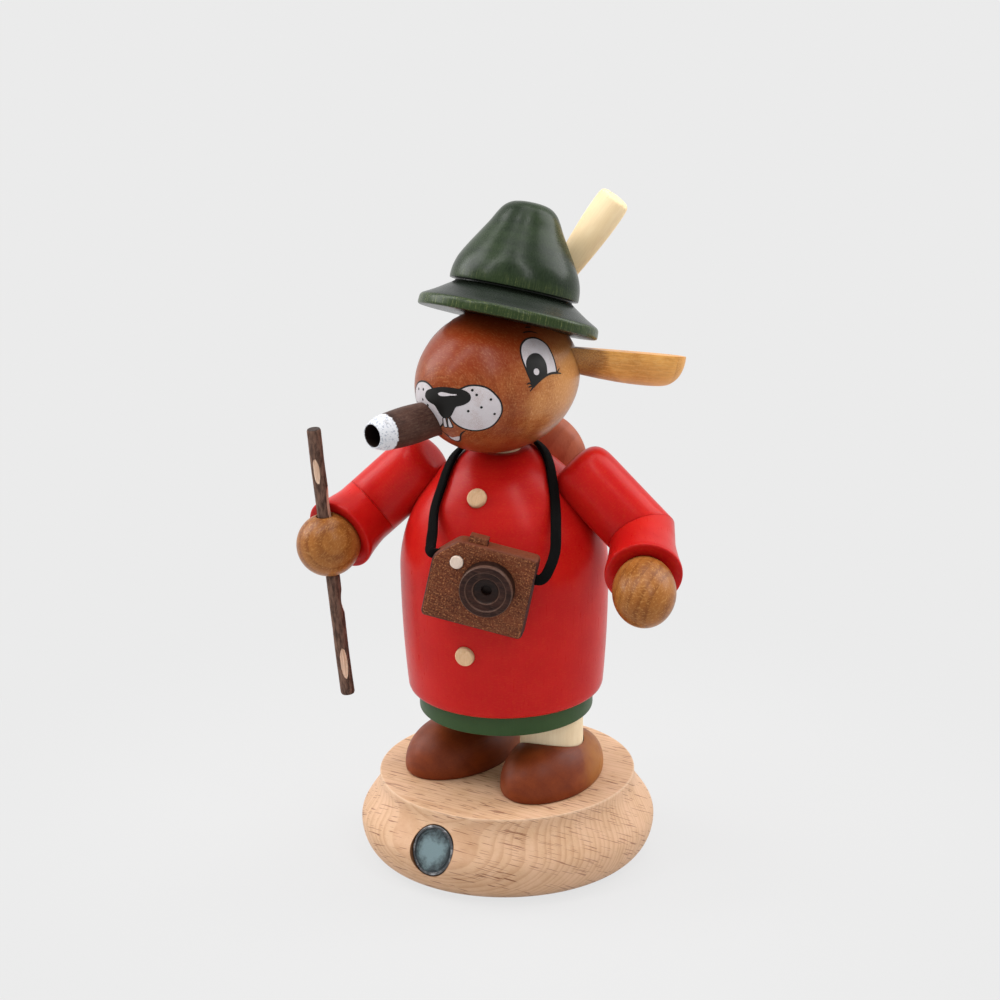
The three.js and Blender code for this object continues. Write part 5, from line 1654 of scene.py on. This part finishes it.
def make_metal(name, dull, bright):
    material, n, surface = begin(name)
    wear = effect(n, FINE_WEAR, place=own_place(n), grain_size=0.3)
    tint = n.blend(wear["Rubbed"], colour(*bright), colour(*dull))
    finish(n, surface, tint, n.ramp(wear["Rubbed"], 0.0, 1.0, 0.28, 0.5))
    surface.inputs["Metallic"].default_value = 0.9
    bumped(n, surface, wear["Dust"], 20)
    return material


def make_lace():
    material, n, surface = begin("black_suede_lace")
    wear = effect(n, FINE_WEAR, place=own_place(n), grain_size=0.16)
    nap = n.blend(wear["Dust"], colour(0.0014, 0.0014, 0.0013), colour(0.0045, 0.0043, 0.0041))
    nap = n.tinted(nap, wear["Specks"], 0.2, (0.03, 0.028, 0.026))
    finish(n, surface, nap, n.ramp(wear["Dust"], 0.2, 0.8, 0.8, 0.95), 0.08)
    bumped(n, surface, wear["Dust"], 120)
    return material


def make_ink(name, tone, thin, wear_share, specular):
    material, n, surface = begin(name)
    place = own_place(n)
    wear = effect(n, FINE_WEAR, place=place, grain_size=0.16)
    patchy = n.ramp(n.noise(n.millimetres(place), 0.28, 2), 0.42, 0.66, 0.25, 1.0)
    worn = n.times(n.ramp(wear["Dust"], 0.42, 0.7), patchy)
    tint = n.tinted(colour(*tone), worn, wear_share, thin)
    finish(n, surface, tint, n.ramp(wear["Dust"], 0.2, 0.8, 0.36, 0.48), specular)
    return material


white_ink = make_ink("white_face_ink", (0.58, 0.545, 0.57), (0.33, 0.2, 0.165), 0.75, 0.3)
black_ink = make_ink("black_face_ink", (0.008, 0.0075, 0.007), (0.02, 0.016, 0.014), 0.5, 0.2)

finishes = {
    beech: ["base"],
    make_pewter(): ["badge"],
    shoe_stain: ["right_shoe", "left_shoe"],
    pale_wood: [
        "right_leg", "left_leg", "neck_tube", "left_shoulder_dowel", "right_shoulder_dowel",
        "left_ear_dowel", "right_ear_dowel",
    ],
    feather_wood: ["feather"],
    button_wood: ["upper_button", "lower_button"],
    flash_wood: ["camera_flash"],
    green_stain: ["hem_disc"],
    make_metal("pressed_tin", (0.3, 0.29, 0.27), (0.62, 0.61, 0.58)): ["incense_plate"],
    make_metal("brass", (0.4, 0.24, 0.07), (0.7, 0.48, 0.16)): ["plate_nail"],
    red_stain: [
        "coat", "left_upper_arm", "right_upper_arm", "left_forearm", "right_forearm",
    ],
    hand_stain: ["left_hand", "right_hand"],
    make_bark(): ["walking_stick"],
    sack_stain: ["rucksack"],
    brown_stain: ["head"],
    ear_stain: ["left_ear", "right_ear"],
    cigar_stain: ["cigar"],
    hat_stain: ["hat"],
    walnut: ["camera_body", "camera_shutter"],
    dark_walnut: ["camera_lens"],
    make_lace(): ["camera_strap"],
}
for material, nodes in finishes.items():
    for node in nodes:
        obj = shapes.get(node) or frame["nodes"][node]
        obj.data.materials.clear()
        obj.data.materials.append(material)
shapes["face"].data.materials.append(white_ink)
shapes["face"].data.materials.append(black_ink)


# Floor, world and lights, in metres
FLOOR_R = 2.5
FLOOR_DROP = 0.0001
BACKDROP = colour(0.831, 0.831, 0.831)
LIGHTS_AIM = Vector((0, 0, 0.07))
# Turn from the view, elevation, distance, width, height, power
LIGHTS = {
    "left_softbox": (-112, 34, 0.75, 0.4, 0.6, 3.6),
    "right_softbox": (112, 36, 0.75, 0.4, 0.6, 3.0),
    "left_strip": (-66, 60, 0.75, 0.08, 0.6, 1.8),
    "right_strip": (34, 60, 0.75, 0.08, 0.6, 1.6),
    "top_softbox": (150, 76, 0.9, 0.5, 0.5, 1.8),
}


def make_floor():
    bm = bmesh.new()
    bmesh.ops.create_circle(bm, cap_ends=True, radius=FLOOR_R, segments=64)
    mesh = bpy.data.meshes.new("floor")
    bm.to_mesh(mesh)
    bm.free()
    floor = bpy.data.objects.new("floor", mesh)
    scene.collection.objects.link(floor)
    floor.location.z = -FLOOR_DROP
    material, n, surface = begin("pale_floor")
    place = own_place(n)
    tint = n.blend(n.noise(place, 40, 2), colour(0.58, 0.58, 0.58), colour(0.6, 0.6, 0.6))
    n.put(surface.inputs["Base Color"], tint)
    surface.inputs["Roughness"].default_value = 0.7
    seen = n.add("Emission", {"Color": BACKDROP, "Strength": 1.0}).outputs[0]
    rays = n.add("LightPath").outputs
    looked_at = n.most(rays["Is Camera Ray"], n.most(rays["Is Glossy Ray"], rays["Is Transmission Ray"]))
    share = n.times(looked_at, n.ramp(n.length(place), 0.04, 0.16, 0.88, 1.0))
    mixed = n.add("MixShader", {0: share, 1: surface.outputs[0], 2: seen}).outputs[0]
    n.put(material.node_tree.nodes["Material Output"].inputs["Surface"], mixed)
    floor.data.materials.append(material)


def make_light(name, off_view, elevation, distance, width, height, power):
    data = bpy.data.lights.new(name, "AREA")
    data.shape = "RECTANGLE"
    data.size = width
    data.size_y = height
    data.energy = power
    light = bpy.data.objects.new(name, data)
    way = direction(VIEW_TURN + off_view, elevation)
    light.location = LIGHTS_AIM + way * distance
    light.rotation_euler = way.to_track_quat("Z", "Y").to_euler()
    scene.collection.objects.link(light)


def make_world():
    """Pale all round and behind the figure, darker from where it is looked at."""
    world = bpy.data.worlds.new("studio")
    scene.world = world
    world.use_nodes = True
    n = Nodes(world.node_tree)
    fill = world.node_tree.nodes["Background"]
    fill.inputs["Color"].default_value = colour(1, 1, 1)
    way = n.add("TexCoord").outputs["Generated"]
    front = n.vector("DOT_PRODUCT", way, direction(VIEW_TURN, 0))["Value"]
    n.put(fill.inputs["Strength"], n.ramp(front, -0.3, 0.6, 0.75, 0.58))
    seen = n.add("Background", {"Color": BACKDROP, "Strength": 1.0}).outputs[0]
    rays = n.add("LightPath").outputs
    mirrored_back = n.times(rays["Is Glossy Ray"], n.ramp(front, -0.3, 0.3, 1.0, 0.0))
    looked_at = n.most(rays["Is Camera Ray"], rays["Is Transmission Ray"])
    mixed = n.add("MixShader", {0: n.most(looked_at, mirrored_back), 1: fill.outputs[0], 2: seen})
    n.put(world.node_tree.nodes["World Output"].inputs["Surface"], mixed.outputs[0])


make_floor()
for name, values in LIGHTS.items():
    make_light(name, *values)
make_world()
scene.view_settings.view_transform = "Standard"
